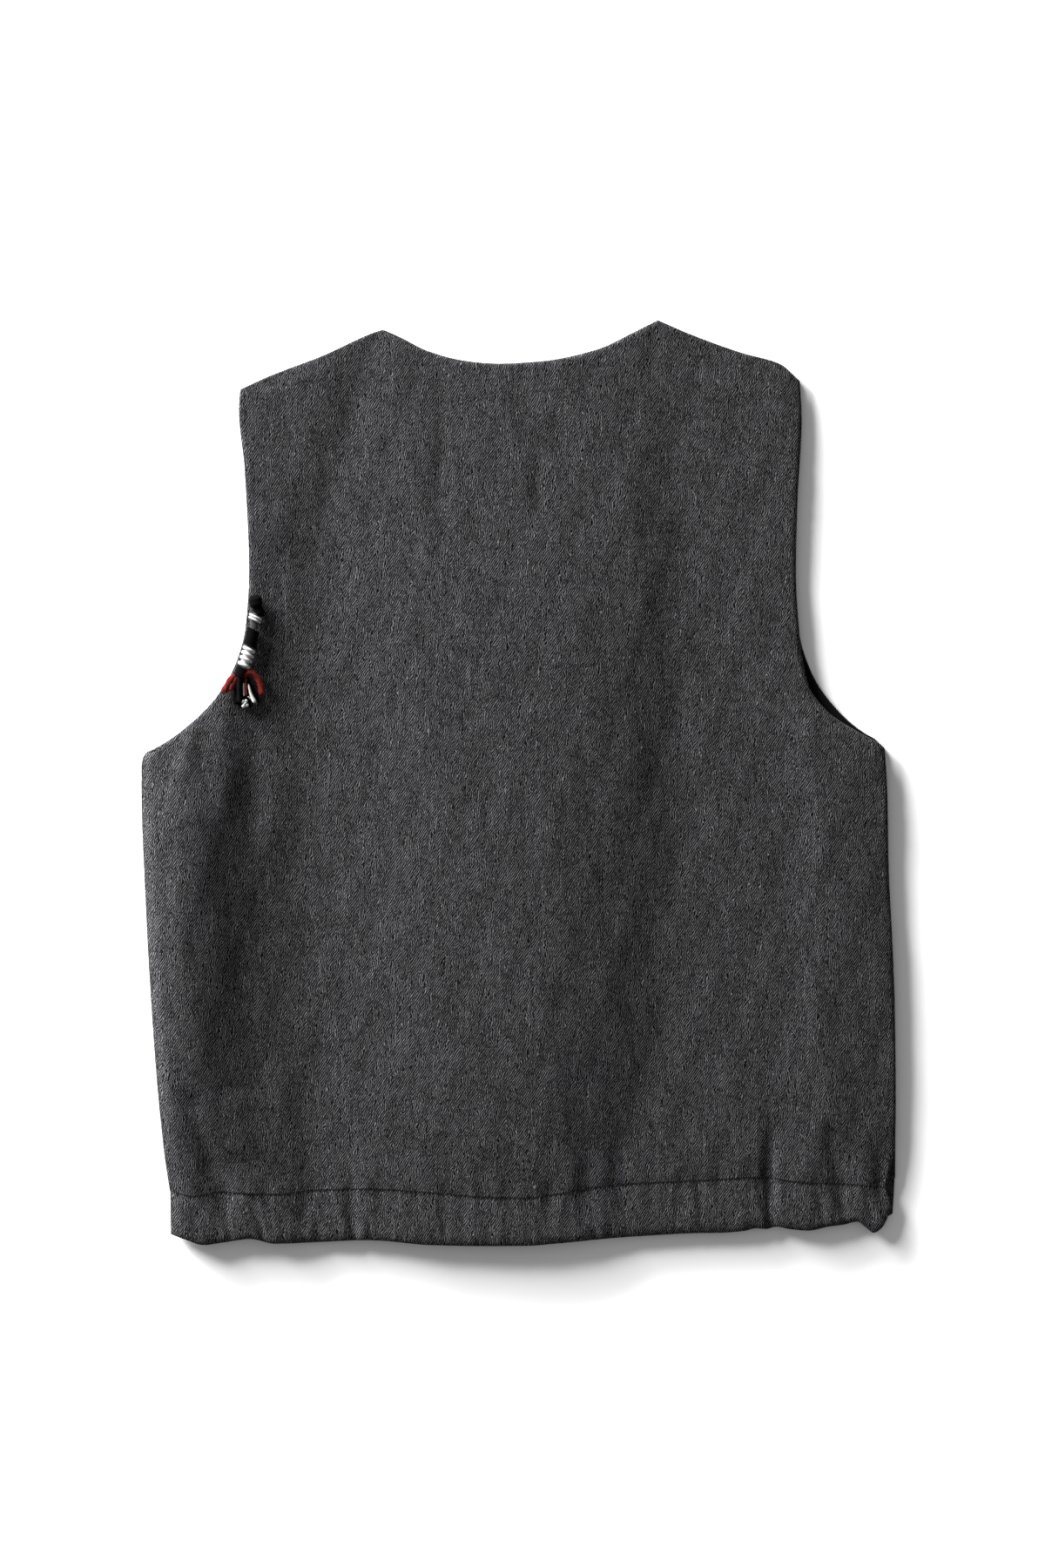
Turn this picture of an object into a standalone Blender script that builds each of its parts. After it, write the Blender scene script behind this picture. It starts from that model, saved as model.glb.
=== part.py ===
"""A plain twill vest laid flat on its fronts, with a small yarn tassel at its left armhole.

Every table and length here is in millimetres, and solid() turns them into metres.
The origin is on the surface under the middle of the vest. +Y runs from the hem to the neck, +Z is up,
and +X is to the right of someone who looks down on the back, which lies on top of the fronts.
"""

import math

import bmesh
import bpy
import numpy as np
from mathutils import Vector

METRES = 0.001
GAP = 0.3  # between neighbouring pieces at a seam

# Cloth levels, from the surface up
FRONT_WALL = 1.6
LINING_UNDER = 1.9
LINING_WALL = 1.0
BACK_WALL = 1.6
BACK_LOWEST = 3.3  # the back's underside never comes lower than this
SEAM_LEVEL = 4.0  # where the back's edge meets the fronts' edges, at the sides and shoulders

# How the back's edge curves down: reach inwards, height of the edge's top, height of its underside
SIDE_ROLL = (9.0, 5.55, SEAM_LEVEL + GAP / 2)
SHOULDER_ROLL = (11.0, 5.55, SEAM_LEVEL + GAP / 2)
FREE_ROLL = (3.0, 4.95, 3.45)
ROLL_BLEND = 7.0  # along the outline, between two kinds of roll

# Hem casing of the back
CASING_WALL = 1.2
CASING_PUFF = 0.1  # how far the casing stands above the stitch line's level
CASING_HEIGHT = 3.6  # from its underside up to the stitch line's level
INNER_LEG_WALL = 1.0
STITCH_DIP = 0.2  # how far the stitches pull the cloth down
STITCH_REACH = 3.0
# The outer leg. Columns: share of the casing's depth, share of the puff
CASING_CROWN = ((0.0, 0.0), (0.22, 0.8), (0.62, 1.0), (0.88, 0.75))
# Where the inner side of the wall turns, its fold, and both ends of the inner leg, as shares of the depth
CASING_TURN = 0.84
CASING_FOLD = 0.94
CASING_LEG = (0.84, 0.08)

# Hem casings of the fronts, hidden under the back's
FRONT_STITCH_Y = -262.0
FRONT_HEM_Y = -290.0
FRONT_CASING_WALL = 1.0
FRONT_CASING_HEIGHT = 2.5
# Outer end of each front's hem fold
FRONT_CASING_LOWER_X = {"left": -229.8, "right": 248.4}

# The front neck is a plain V, hidden under the back
CENTRE_FRONT = 0.4
FRONT_NECK_Y = 165.0

# Mesh of the fronts, closer together where their edges curl up
FRONT_CORNER = 0.52  # row that starts at the underarm
FRONT_EDGE_STEPS = (0.0, 1.4, 2.4, 3.4, 8.0)
FRONT_WIDTH = 215.0
FRONT_LENGTH = 560.0
CURL_REACH = 3.4  # from a seam to where the front lies flat
CURL_SLOPE = 2.0
CURL_UNDER = (2.4, 1.4)  # reach and height of the rounded lower edge
SEAM_END = 12.0  # the curl ends this far from the armhole and the neck

# Lining of the right front, set in from the cloth's edges
LINING_SIDE_INSET = 4.8
LINING_HEM_INSET = 4.0
LINING_INSET = 1.1
LINING_CENTRE = 3.0
LINING_SHOULDER = ((181.5, 258.5), (173.1, 270.0), (147.1, 277.5), (112.4, 290.0), (97.0, 296.0))

# Tassel
YARN_FLATNESS = 0.75  # height of a piece for its width
REST_REACH = 0.7  # share of a piece's half width that its underside rests on
CORD_RADIUS = 1.4
CORD_ROUTE = ((-172.6, 111.3), (-173.8, 109.6), (-175.1, 106.6), (-175.9, 103.3))
KNOT_CENTRE = (-173.7, 118.6)
KNOT_HEADING = (0.35, -1)
KNOT_HALF_SIZES = (4.6, 6.3, 3.7)  # across, along its heading, up
KNOT_RINGS = 7
KNOT_BLUNT = 0.16  # turn in radians from a tip to the first ring
KNOT_LOBES = (5, 0.07)  # how many there are round it, and their depth for its size
RING_CENTRE = (-174.4, 108.8)
RING_HEADING = (-0.45, -0.89)
RING_RADIUS = 4.3
RING_YARN = (1.8, 2.9)  # thickness, and width along the heading
RING_FLATNESS = 0.8
# One turn of wound yarn. Columns: share of the turn, share of the width
TURN_PROFILE = ((0.0, 0.62), (0.22, 0.96), (0.78, 0.96))
# Wound lengths. Columns: name, start, end, half width, turns, depth of the grooves, colour
WOUND = (
    ("neck", (-176.1, 102.8), (-178.3, 91.2), 4.3, 6, 0.5, "black"),
    ("windings", (-178.5, 90.4), (-182.3, 77.2), 4.4, 5, 1.0, "white"),
    ("band", (-182.8, 76.1), (-184.4, 70.6), 4.3, 3, 0.5, "black"),
)
# Tufts of strands. Columns: name, place of the roots, height above the back, heading, size across and up,
# strands across and up, length, spread, bend aside, droop, colour
TUFTS = (
    ("black", (-183.3, 67.4), 0.0, (0.12, -1), (6.6, 5.4), (5, 3), 18.0, 3.0, 1.5, 1.6, "black"),
    ("red_left", (-189.8, 69.6), 0.0, (-0.55, -1), (4.4, 4.6), (3, 3), 10.0, 3.0, -1.0, 1.2, "red"),
    ("red_right", (-177.0, 72.6), 0.0, (1, -0.35), (5.4, 5.0), (3, 3), 13.0, 2.0, -7.0, 1.2, "red"),
    ("white", (-182.6, 67.6), 5.8, (0.3, -1), (5.4, 1.7), (4, 1), 19.0, 5.0, 1.0, 0.6, "white"),
)
TUFT_ROOT = 2.0  # depth of the block that holds a tuft's roots
# A strand of a tuft. Columns: share of its length, share of its thickness
STRAND_PROFILE = ((0.0, 0.84), (0.4, 0.9), (0.75, 0.75), (1.0, 0.4))

# Outline of the back. Columns: X, Y
LEFT_SIDE = (
    (-231.2, -270.5),
    (-235.2, -243.3),
    (-241.6, -174.0),
    (-247.1, -81.5),
    (-250.0, -0.6),
    (-249.4, 11.0),
    (-247.7, 20.2),
)
LEFT_ARMHOLE = (
    (-247.7, 20.2),
    (-240.7, 22.8),
    (-223.4, 34.1),
    (-200.0, 57.2),
    (-187.0, 80.3),
    (-180.9, 103.5),
    (-178.6, 140.0),
    (-181.5, 207.5),
    (-185.4, 248.0),
    (-184.6, 261.0),
)
RIGHT_SIDE = (
    (243.1, -268.8),
    (245.9, -259.0),
    (249.4, -240.0),
    (250.0, -215.0),
    (249.4, -150.9),
    (247.7, -104.6),
    (245.4, -58.4),
    (244.2, -0.6),
    (242.5, 23.1),
)
RIGHT_ARMHOLE = (
    (242.5, 23.1),
    (226.9, 31.2),
    (205.5, 44.5),
    (192.2, 64.7),
    (186.4, 96.5),
    (183.8, 140.0),
    (184.7, 184.4),
    (187.6, 242.2),
    (186.4, 266.5),
)
LEFT_SHOULDER = ((-184.6, 261.0), (-165.0, 269.9), (-130.3, 283.2), (-95.7, 298.8), (-89.9, 300.6))
NECK = (
    (-89.9, 300.6),
    (-78.3, 295.4),
    (-61.0, 286.7),
    (-35.0, 279.8),
    (-13.6, 278.0),
    (17.1, 279.8),
    (51.7, 287.3),
    (77.7, 299.4),
    (92.5, 306.9),
)
RIGHT_SHOULDER = ((92.5, 306.9), (112.4, 298.2), (147.1, 285.5), (173.1, 278.0), (186.4, 266.5))

# Line of stitches above the hem casing of the back. Columns: X, Y
STITCH_LINE = (
    (-231.2, -270.5),
    (-215.9, -274.0),
    (-198.5, -271.7),
    (-160.0, -272.8),
    (-136.1, -270.5),
    (-100.0, -269.3),
    (-58.1, -271.7),
    (-20.0, -274.6),
    (6.1, -275.1),
    (28.0, -272.2),
    (66.8, -266.5),
    (124.6, -263.6),
    (163.9, -261.8),
    (184.1, -264.7),
    (221.1, -266.5),
    (243.1, -268.8),
)
# Fold of the hem. Columns: X, Y
HEM_LINE = (
    (-230.8, -299.4),
    (-221.0, -302.8),
    (-209.0, -306.3),
    (-196.2, -304.8),
    (-178.0, -302.3),
    (-161.6, -305.5),
    (-140.0, -304.9),
    (-99.1, -303.2),
    (-57.5, -306.3),
    (-22.8, -306.9),
    (4.9, -306.7),
    (28.0, -305.0),
    (60.4, -302.0),
    (90.5, -300.0),
    (118.0, -298.6),
    (134.0, -298.4),
    (150.6, -297.0),
    (157.5, -295.4),
    (164.4, -295.9),
    (171.4, -294.4),
    (180.0, -295.9),
    (192.2, -296.9),
    (206.1, -294.2),
    (219.9, -292.4),
    (226.9, -293.2),
    (233.8, -298.0),
    (243.1, -293.6),
    (247.7, -281.5),
)

# Armholes of the fronts. The right one reaches out past the back's. Columns: X, Y
LEFT_FRONT_ARMHOLE = (
    (-247.7, 20.2),
    (-236.0, 21.5),
    (-219.0, 31.0),
    (-195.0, 53.0),
    (-182.0, 78.0),
    (-175.5, 103.0),
    (-173.0, 140.0),
    (-177.0, 207.0),
    (-182.5, 246.0),
    (-184.6, 261.0),
)
RIGHT_FRONT_ARMHOLE = (
    (243.1, 22.5),
    (239.6, 28.3),
    (220.5, 42.2),
    (201.4, 61.8),
    (193.9, 76.3),
    (187.0, 95.0),
    (180.5, 140.0),
    (181.0, 184.4),
    (184.8, 242.2),
    (186.4, 266.5),
)
LEFT_FRONT_SIDE = ((-232.4, FRONT_STITCH_Y), *LEFT_SIDE[1:])
RIGHT_FRONT_SIDE = (
    (249.8, FRONT_STITCH_Y),
    (250.0, -215.0),
    (249.4, -150.9),
    (247.7, -104.6),
    (245.4, -58.4),
    (244.2, -0.6),
    (243.1, 22.5),
)

# Drape of the back: a row for each crest or trough, with X and the height of the cloth's top
# at these six places along Y
DRAPE_Y = (290.0, 200.0, 78.0, -40.0, -160.0, -270.0)
DRAPE = {
    "left_edge": ((-230, -210, -222, -250, -246, -232), (5.8, 5.8, 10.0, 12.6, 13.0, 8.8)),
    "left_crest": ((-132, -156, -192, -219, -216, -208), (6.6, 7.2, 6.9, 18.6, 17.6, 10.2)),
    "left_fall": ((-118, -139, -162, -172, -174, -162), (6.2, 6.4, 6.2, 8.8, 8.6, 9.6)),
    "left_trough": ((-100, -121, -140, -142, -142, -136), (5.4, 5.2, 5.1, 5.0, 5.9, 7.8)),
    "left_slope": ((-80, -97, -105, -104, -104, -108), (6.6, 7.0, 7.2, 6.8, 7.4, 8.5)),
    "centre_left": ((-62, -68, -56, -46, -46, -54), (6.9, 8.4, 11.2, 12.4, 12.4, 11.2)),
    "centre": ((0, 2, 22, 20, 14, -6), (7.1, 8.9, 13.2, 14.8, 14.6, 11.8)),
    "centre_right": ((68, 74, 72, 60, 52, 30), (6.8, 8.2, 10.6, 12.4, 12.3, 11.3)),
    "right_trough": ((106, 109, 110, 110, 98, 76), (5.5, 5.3, 5.5, 6.2, 6.5, 7.5)),
    "right_flat": ((150, 150, 165, 176, 176, 170), (5.9, 6.0, 6.2, 6.4, 6.9, 7.9)),
    "right_crest": ((172, 178, 195, 203, 202, 198), (5.9, 6.3, 7.2, 8.8, 8.9, 8.6)),
    "right_swell": ((190, 200, 225, 234, 232, 228), (5.8, 6.1, 7.4, 8.2, 7.9, 7.7)),
    "right_edge": ((230, 215, 245, 252, 257, 254), (5.8, 6.0, 6.6, 7.0, 7.0, 7.0)),
}

# Single creases of the back. Columns: X and Y of one end, X and Y of the other, half width, height
CREASES = (
    (-52.0, 271.0, -50.0, 150.0, 6.0, -0.8),
    (13.0, 238.0, 13.0, 172.0, 5.0, -0.5),
    (-221.0, -205.0, -200.0, -262.0, 6.0, -1.6),
    (-226.0, -60.0, -222.0, -160.0, 7.0, 0.8),
    (206.0, -225.0, 213.0, -278.0, 6.0, -1.2),
    (-186.0, -205.0, -186.0, -250.0, 12.0, 1.4),
)

# Gathers seen at the hem. Columns: X, half width, depth, reach above the stitches, lean over that reach
GATHERS = (
    (-193.0, 6.0, 2.6, 38.0, -12.0),
    (-168.5, 3.5, 1.2, 16.0, 1.0),
    (-139.0, 6.0, 1.9, 90.0, 1.0),
    (-126.5, 4.0, 1.4, 42.0, -1.0),
    (-110.0, 5.0, 1.9, 48.0, -2.0),
    (-93.5, 3.5, 1.2, 14.0, 0.0),
    (-37.0, 4.5, 1.2, 16.0, 0.0),
    (-6.5, 4.5, 1.3, 24.0, 0.0),
    (20.0, 4.0, 1.2, 16.0, 0.0),
    (46.0, 5.0, 2.4, 52.0, 1.0),
    (65.0, 4.0, 1.4, 26.0, 0.0),
    (167.0, 4.5, 2.6, 62.0, 2.0),
    (219.0, 8.0, 1.9, 44.0, -4.0),
    (240.5, 4.5, 1.6, 44.0, -1.0),
)
# Lesser gathers fill the spaces between them
RIPPLE_PITCH = 15.5
RIPPLE_CLEARANCE = 11.0
RIPPLE_DEPTH = (0.45, 0.9)
RIPPLE_REACH = (12.0, 34.0)
GOLDEN = 0.618034

# Mesh of the back
EDGE_COLUMNS = (0.0, 1.5, 4.0, 8.0, 14.0)  # from each side edge
MEAN_WIDTH = 430.0
SHOULDER_COLUMNS = 7
NECK_COLUMNS = 18
FINE_ROWS = (0.0, 4.0, 10.0, 18.0, 28.0)  # above the stitches, where the gathers are
FINE = 3  # columns for each column above
SIDE_ROWS = (45.0, 68.0, 92.0, 118.0, 145.0, 172.0, 200.0, 228.0, 255.0, 278.0, 292.0)
ARMHOLE_ROWS = (14, 30, 48, 68, 90, 114, 140, 166, 192, 216, 236, 250, 258, 263, 265.5, 267)

# Colours of the cloth and yarn
CHARCOAL = (0.045, 0.047, 0.049)
LINING_BLACK = (0.012, 0.012, 0.013)
YARN = {
    "black": (0.016, 0.015, 0.016),
    "grey": (0.06, 0.06, 0.062),
    "white": (0.72, 0.71, 0.69),
    "red": (0.42, 0.035, 0.03),
}


def smooth(knots, values, at):
    """Values between knots on a curve that passes through each one and never overshoots."""
    knots = np.asarray(knots, float)
    values = np.asarray(values, float)
    at = np.clip(np.asarray(at, float), knots[0], knots[-1])
    width = np.diff(knots)
    rise = np.diff(values) / width
    slope = np.zeros(len(knots))
    slope[0] = rise[0]
    slope[-1] = rise[-1]
    same_way = rise[:-1] * rise[1:] > 0
    mean = 2 * rise[:-1] * rise[1:] / np.where(same_way, rise[:-1] + rise[1:], 1)
    slope[1:-1] = np.where(same_way, mean, 0)
    left = np.clip(np.searchsorted(knots, at, side="right") - 1, 0, len(width) - 1)
    step = width[left]
    t = (at - knots[left]) / step
    start = (1 + 2 * t) * (1 - t) ** 2 * values[left] + t * (1 - t) ** 2 * step * slope[left]
    end = t**2 * (3 - 2 * t) * values[left + 1] + t**2 * (t - 1) * step * slope[left + 1]
    return start + end


def ease(t):
    """From 0 to 1 as t goes from 0 to 1, with level ends."""
    t = np.clip(t, 0, 1)
    return t * t * (3 - 2 * t)


def along(points, fraction):
    """Places at fractions of the length of a smooth curve through the points."""
    points = np.asarray(points, float)
    length = np.concatenate([[0], np.cumsum(np.hypot(*np.diff(points, axis=0).T))])
    at = np.asarray(fraction, float) * length[-1]
    return np.stack([smooth(length, points[:, 0], at), smooth(length, points[:, 1], at)], axis=-1)


def by_x(stretches, fraction):
    """Places at fractions of the way along X, over one or more joined smooth stretches."""
    first = stretches[0][0][0]
    last = stretches[-1][-1][0]
    x = first + np.asarray(fraction, float) * (last - first)
    y = np.zeros_like(x)
    for stretch in stretches:
        points = np.asarray(stretch, float)
        inside = (x >= points[0, 0]) & (x <= points[-1, 0])
        y = np.where(inside, smooth(points[:, 0], points[:, 1], x), y)
    return np.stack([x, y], axis=-1)


def side_edge(side, armhole, corner):
    """An edge that follows a side seam up to the row called corner and an armhole from there on."""

    def place(v):
        if v <= corner:
            return along(side, v / corner)
        return along(armhole, (v - corner) / (1 - corner))

    return place


def patch_row(left, right, bottom, top, columns, v):
    """One row of a net of plan points stretched between four edges."""
    u = np.asarray(columns, float)[:, None]
    ends = np.array([0.0, 1.0])
    low, high = bottom(ends), top(ends)
    lengthwise = (1 - v) * bottom(u[:, 0]) + v * top(u[:, 0])
    crosswise = (1 - u) * left(v) + u * right(v)
    corners = (1 - v) * ((1 - u) * low[0] + u * low[1]) + v * ((1 - u) * high[0] + u * high[1])
    return lengthwise + crosswise - corners


def distance(places, outline):
    """Distance in plan from each place to each point of an outline."""
    return np.hypot(
        places[:, None, 0] - outline[None, :, 0],
        places[:, None, 1] - outline[None, :, 1],
    )


def solid(name, points, faces, colour, roughness=0.9):
    """One closed body as an object with its own material."""
    mesh = bpy.data.meshes.new(name)
    mesh.from_pydata([Vector(p) * METRES for p in points], [], faces)
    shape = bmesh.new()
    shape.from_mesh(mesh)
    bmesh.ops.recalc_face_normals(shape, faces=shape.faces)
    shape.to_mesh(mesh)
    shape.free()
    mesh.shade_smooth()
    mesh.set_sharp_from_angle(angle=math.radians(40))
    material = bpy.data.materials.new(name)
    material.use_nodes = True
    shader = material.node_tree.nodes["Principled BSDF"]
    shader.inputs["Base Color"].default_value = (*colour, 1)
    shader.inputs["Roughness"].default_value = roughness
    mesh.materials.append(material)
    thing = bpy.data.objects.new(name, mesh)
    bpy.context.scene.collection.objects.link(thing)
    return thing


def strip(lower, upper):
    """Faces between two rows of point numbers, the upper one as long as the lower or shorter."""
    each = (len(lower) - 1) // (len(upper) - 1)
    faces = []
    for number in range(len(upper) - 1):
        below = lower[number * each : (number + 1) * each + 1]
        if each == 1:
            faces.append((below[0], below[1], upper[number + 1], upper[number]))
            continue
        turn = (each + 1) // 2
        for step in range(each):
            apex = upper[number] if step < turn else upper[number + 1]
            faces.append((below[step], below[step + 1], apex))
        faces.append((below[turn], upper[number + 1], upper[number]))
    return faces


def sheet(name, rows, top_height, under_height, colour):
    """A wall of cloth over rows of plan points, between two height functions."""
    numbers = []
    count = 0
    for row in rows:
        numbers.append(list(range(count, count + len(row))))
        count += len(row)
    plan = np.concatenate(rows)
    top = np.column_stack([plan, top_height(plan)])
    under = np.column_stack([plan, under_height(plan)])
    faces = []
    for lower, upper in zip(numbers, numbers[1:]):
        for face in strip(lower, upper):
            faces.append(face)
            faces.append(tuple(number + count for number in reversed(face)))
    rim = numbers[0] + [row[-1] for row in numbers[1:-1]]
    rim += numbers[-1][::-1] + [row[0] for row in numbers[-2:0:-1]]
    for start, end in zip(rim, rim[1:] + rim[:1]):
        faces.append((start, start + count, end + count, end))
    return solid(name, np.concatenate([top, under]), faces, colour)


def tube(name, rings, colour):
    """A closed body through rings of equal point counts, each end closed by a face."""
    size = len(rings[0])
    points = [point for ring in rings for point in ring]
    faces = [tuple(range(size))]
    for start in range(0, len(points) - size, size):
        for corner in range(size):
            after = (corner + 1) % size
            faces.append((start + corner, start + after, start + size + after, start + size + corner))
    faces.append(tuple(range(len(points) - size, len(points)))[::-1])
    return solid(name, points, faces, colour)


def folded_strip(name, sections, colour):
    """A wall folded on itself: each section lists its outer points and then as many inner ones."""
    size = len(sections[0])
    half = size // 2
    points = [point for section in sections for point in section]
    faces = []
    for start in range(0, len(points) - size, size):
        for corner in range(size):
            after = (corner + 1) % size
            faces.append((start + corner, start + after, start + size + after, start + size + corner))
    for start in (0, len(points) - size):
        for corner in range(half - 1):
            faces.append(
                (
                    start + corner,
                    start + corner + 1,
                    start + size - 2 - corner,
                    start + size - 1 - corner,
                )
            )
    return solid(name, points, faces, colour)


# Outline of the back with its kinds of roll, for the height of the cloth near the edge


def outline_with_rolls():
    """Dense points round the back, and at each one the reach, top and underside of its roll."""
    spacing = 1.5
    left_end = HEM_LINE[0]
    right_end = HEM_LINE[-1]
    stretches = (
        ((left_end, LEFT_SIDE[0]), SIDE_ROLL),
        (LEFT_SIDE, SIDE_ROLL),
        (LEFT_ARMHOLE, FREE_ROLL),
        (LEFT_SHOULDER, SHOULDER_ROLL),
        (NECK, FREE_ROLL),
        (RIGHT_SHOULDER, SHOULDER_ROLL),
        (RIGHT_ARMHOLE[::-1], FREE_ROLL),
        (RIGHT_SIDE[::-1], SIDE_ROLL),
        ((RIGHT_SIDE[0], right_end), SIDE_ROLL),
    )
    places, rolls = [], []
    for points, roll in stretches:
        steps = np.diff(np.asarray(points, float), axis=0)
        count = max(2, int(np.hypot(*steps.T).sum() / spacing))
        places.append(along(points, np.linspace(0, 1, count)))
        rolls.append(np.tile(roll, (count, 1)))
    places = np.concatenate(places)
    rolls = np.concatenate(rolls)
    spread = int(ROLL_BLEND / spacing)
    padded = np.pad(rolls, ((spread, spread), (0, 0)), mode="edge")
    blended = sum(padded[shift : shift + len(rolls)] for shift in range(2 * spread + 1))
    return places, blended / (2 * spread + 1)


OUTLINE, ROLLS = outline_with_rolls()


def drape_height(plan):
    """Height of the back's top from its crests and troughs alone."""
    up = np.asarray(DRAPE_Y[::-1])
    xs = np.array([smooth(up, row[0][::-1], plan[:, 1]) for row in DRAPE.values()])
    zs = np.array([smooth(up, row[1][::-1], plan[:, 1]) for row in DRAPE.values()])
    heights = np.zeros(len(plan))
    for number, x in enumerate(plan[:, 0]):
        heights[number] = smooth(xs[:, number], zs[:, number], x)
    return heights


def crease_height(plan):
    total = np.zeros(len(plan))
    for x0, y0, x1, y1, half_width, height in CREASES:
        run = np.array([x1 - x0, y1 - y0])
        length = np.hypot(*run)
        offset = plan - (x0, y0)
        lengthwise = offset @ run / length**2
        beside = (offset[:, 0] * run[1] - offset[:, 1] * run[0]) / length
        fade = ease(lengthwise / 0.3 + 0.3) * ease((1 - lengthwise) / 0.3 + 0.3)
        total += height * fade * np.exp(-((beside / half_width) ** 2))
    return total


def all_gathers():
    """The gathers seen in the cloth and the lesser ones between them."""
    gathers = list(GATHERS)
    listed = [row[0] for row in GATHERS]
    count = int((HEM_LINE[-1][0] - HEM_LINE[0][0]) / RIPPLE_PITCH)
    for number in range(count):
        chance = (number * GOLDEN) % 1
        x = HEM_LINE[0][0] + (number + 0.35 + 0.5 * chance) * RIPPLE_PITCH
        if min(abs(x - other) for other in listed) < RIPPLE_CLEARANCE:
            continue
        depth = RIPPLE_DEPTH[0] + chance * (RIPPLE_DEPTH[1] - RIPPLE_DEPTH[0])
        reach = RIPPLE_REACH[0] + (1 - chance) * (RIPPLE_REACH[1] - RIPPLE_REACH[0])
        gathers.append((x, 4.2, depth, reach, 3.0 * (chance - 0.5)))
    return gathers


ALL_GATHERS = all_gathers()


def gather_height(plan, above):
    """How far the gathers sink the cloth, at distances above the line of stitches."""
    total = np.zeros(len(plan))
    for x, half_width, depth, reach, lean in ALL_GATHERS:
        rise = np.clip(above / reach, 0, 1)
        centre = x + lean * rise
        widening = half_width * (1 + 0.5 * rise)
        total -= depth * (1 - ease(rise)) * np.exp(-(((plan[:, 0] - centre) / widening) ** 2))
    return total


def above_stitches(plan):
    points = np.asarray(STITCH_LINE)
    return plan[:, 1] - smooth(points[:, 0], points[:, 1], plan[:, 0])


def roll_at(plan):
    """How far the cloth has risen from its edge, from 0 to 1, and that edge's top and underside."""
    ratio = distance(plan, OUTLINE) / ROLLS[None, :, 0]
    nearest = ratio.argmin(axis=1)
    inwards = np.clip(ratio.min(axis=1), 0, 1)
    return 1 - (1 - inwards) ** 2, ROLLS[nearest, 1], ROLLS[nearest, 2]


def back_surface(plan):
    """Height of the back before its edge is rolled down."""
    above = above_stitches(plan)
    dip = STITCH_DIP * np.exp(-((above / STITCH_REACH) ** 2))
    return drape_height(plan) + crease_height(plan) + gather_height(plan, above) - dip


def back_top(plan):
    risen, edge_top, _ = roll_at(plan)
    return edge_top + (np.maximum(back_surface(plan), BACK_LOWEST + BACK_WALL) - edge_top) * risen


def back_under(plan):
    risen, edge_top, edge_under = roll_at(plan)
    top = back_top(plan)
    step = 0.4
    slope_x = (back_top(plan + (step, 0)) - back_top(plan - (step, 0))) / (2 * step)
    slope_y = (back_top(plan + (0, step)) - back_top(plan - (0, step))) / (2 * step)
    slant = np.sqrt(1 + np.minimum(slope_x**2 + slope_y**2, 1.0))
    edge_wall = edge_top - edge_under
    wall = edge_wall + (BACK_WALL * slant - edge_wall) * ease(risen / 0.6)
    near_edge = np.where(risen < 0.75, edge_under, BACK_LOWEST)
    return np.maximum(top - wall, np.minimum(near_edge, top - 1.0))


# Back panel


def back_columns():
    """Fractions of the width, with a column on each end of the neck."""
    span = RIGHT_SHOULDER[-1][0] - LEFT_SHOULDER[0][0]
    neck_start = (NECK[0][0] - LEFT_SHOULDER[0][0]) / span
    neck_end = (NECK[-1][0] - LEFT_SHOULDER[0][0]) / span
    edge = np.asarray(EDGE_COLUMNS) / MEAN_WIDTH
    left = np.linspace(edge[-1], neck_start, SHOULDER_COLUMNS + 1)[1:]
    middle = np.linspace(neck_start, neck_end, NECK_COLUMNS + 1)[1:]
    right = np.linspace(neck_end, 1 - edge[-1], SHOULDER_COLUMNS + 1)[1:]
    return np.concatenate([edge, left, middle, right, 1 - edge[-2::-1]])


def finer(columns):
    """The same columns with others evenly between them."""
    numbers = np.arange(len(columns))
    between = np.linspace(0, len(columns) - 1, FINE * (len(columns) - 1) + 1)
    return np.interp(between, numbers, columns)


def make_back():
    corner = SIDE_ROWS[-1] / (SIDE_ROWS[-1] + ARMHOLE_ROWS[-1])
    left = side_edge(LEFT_SIDE, LEFT_ARMHOLE, corner)
    right = side_edge(RIGHT_SIDE, RIGHT_ARMHOLE, corner)
    columns = back_columns()
    fine_columns = finer(columns)

    def bottom(u):
        return by_x((STITCH_LINE,), u)

    def top(u):
        return by_x((LEFT_SHOULDER, NECK, RIGHT_SHOULDER), u)

    rows = []
    for height in FINE_ROWS:
        v = corner * height / SIDE_ROWS[-1]
        rows.append(patch_row(left, right, bottom, top, fine_columns, v))
    for height in SIDE_ROWS:
        v = corner * height / SIDE_ROWS[-1]
        rows.append(patch_row(left, right, bottom, top, columns, v))
    for height in ARMHOLE_ROWS:
        v = corner + (1 - corner) * height / ARMHOLE_ROWS[-1]
        rows.append(patch_row(left, right, bottom, top, columns, v))
    rows[0][:, 1] += GAP / 2
    return sheet("back", rows, back_top, back_under, CHARCOAL)


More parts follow.
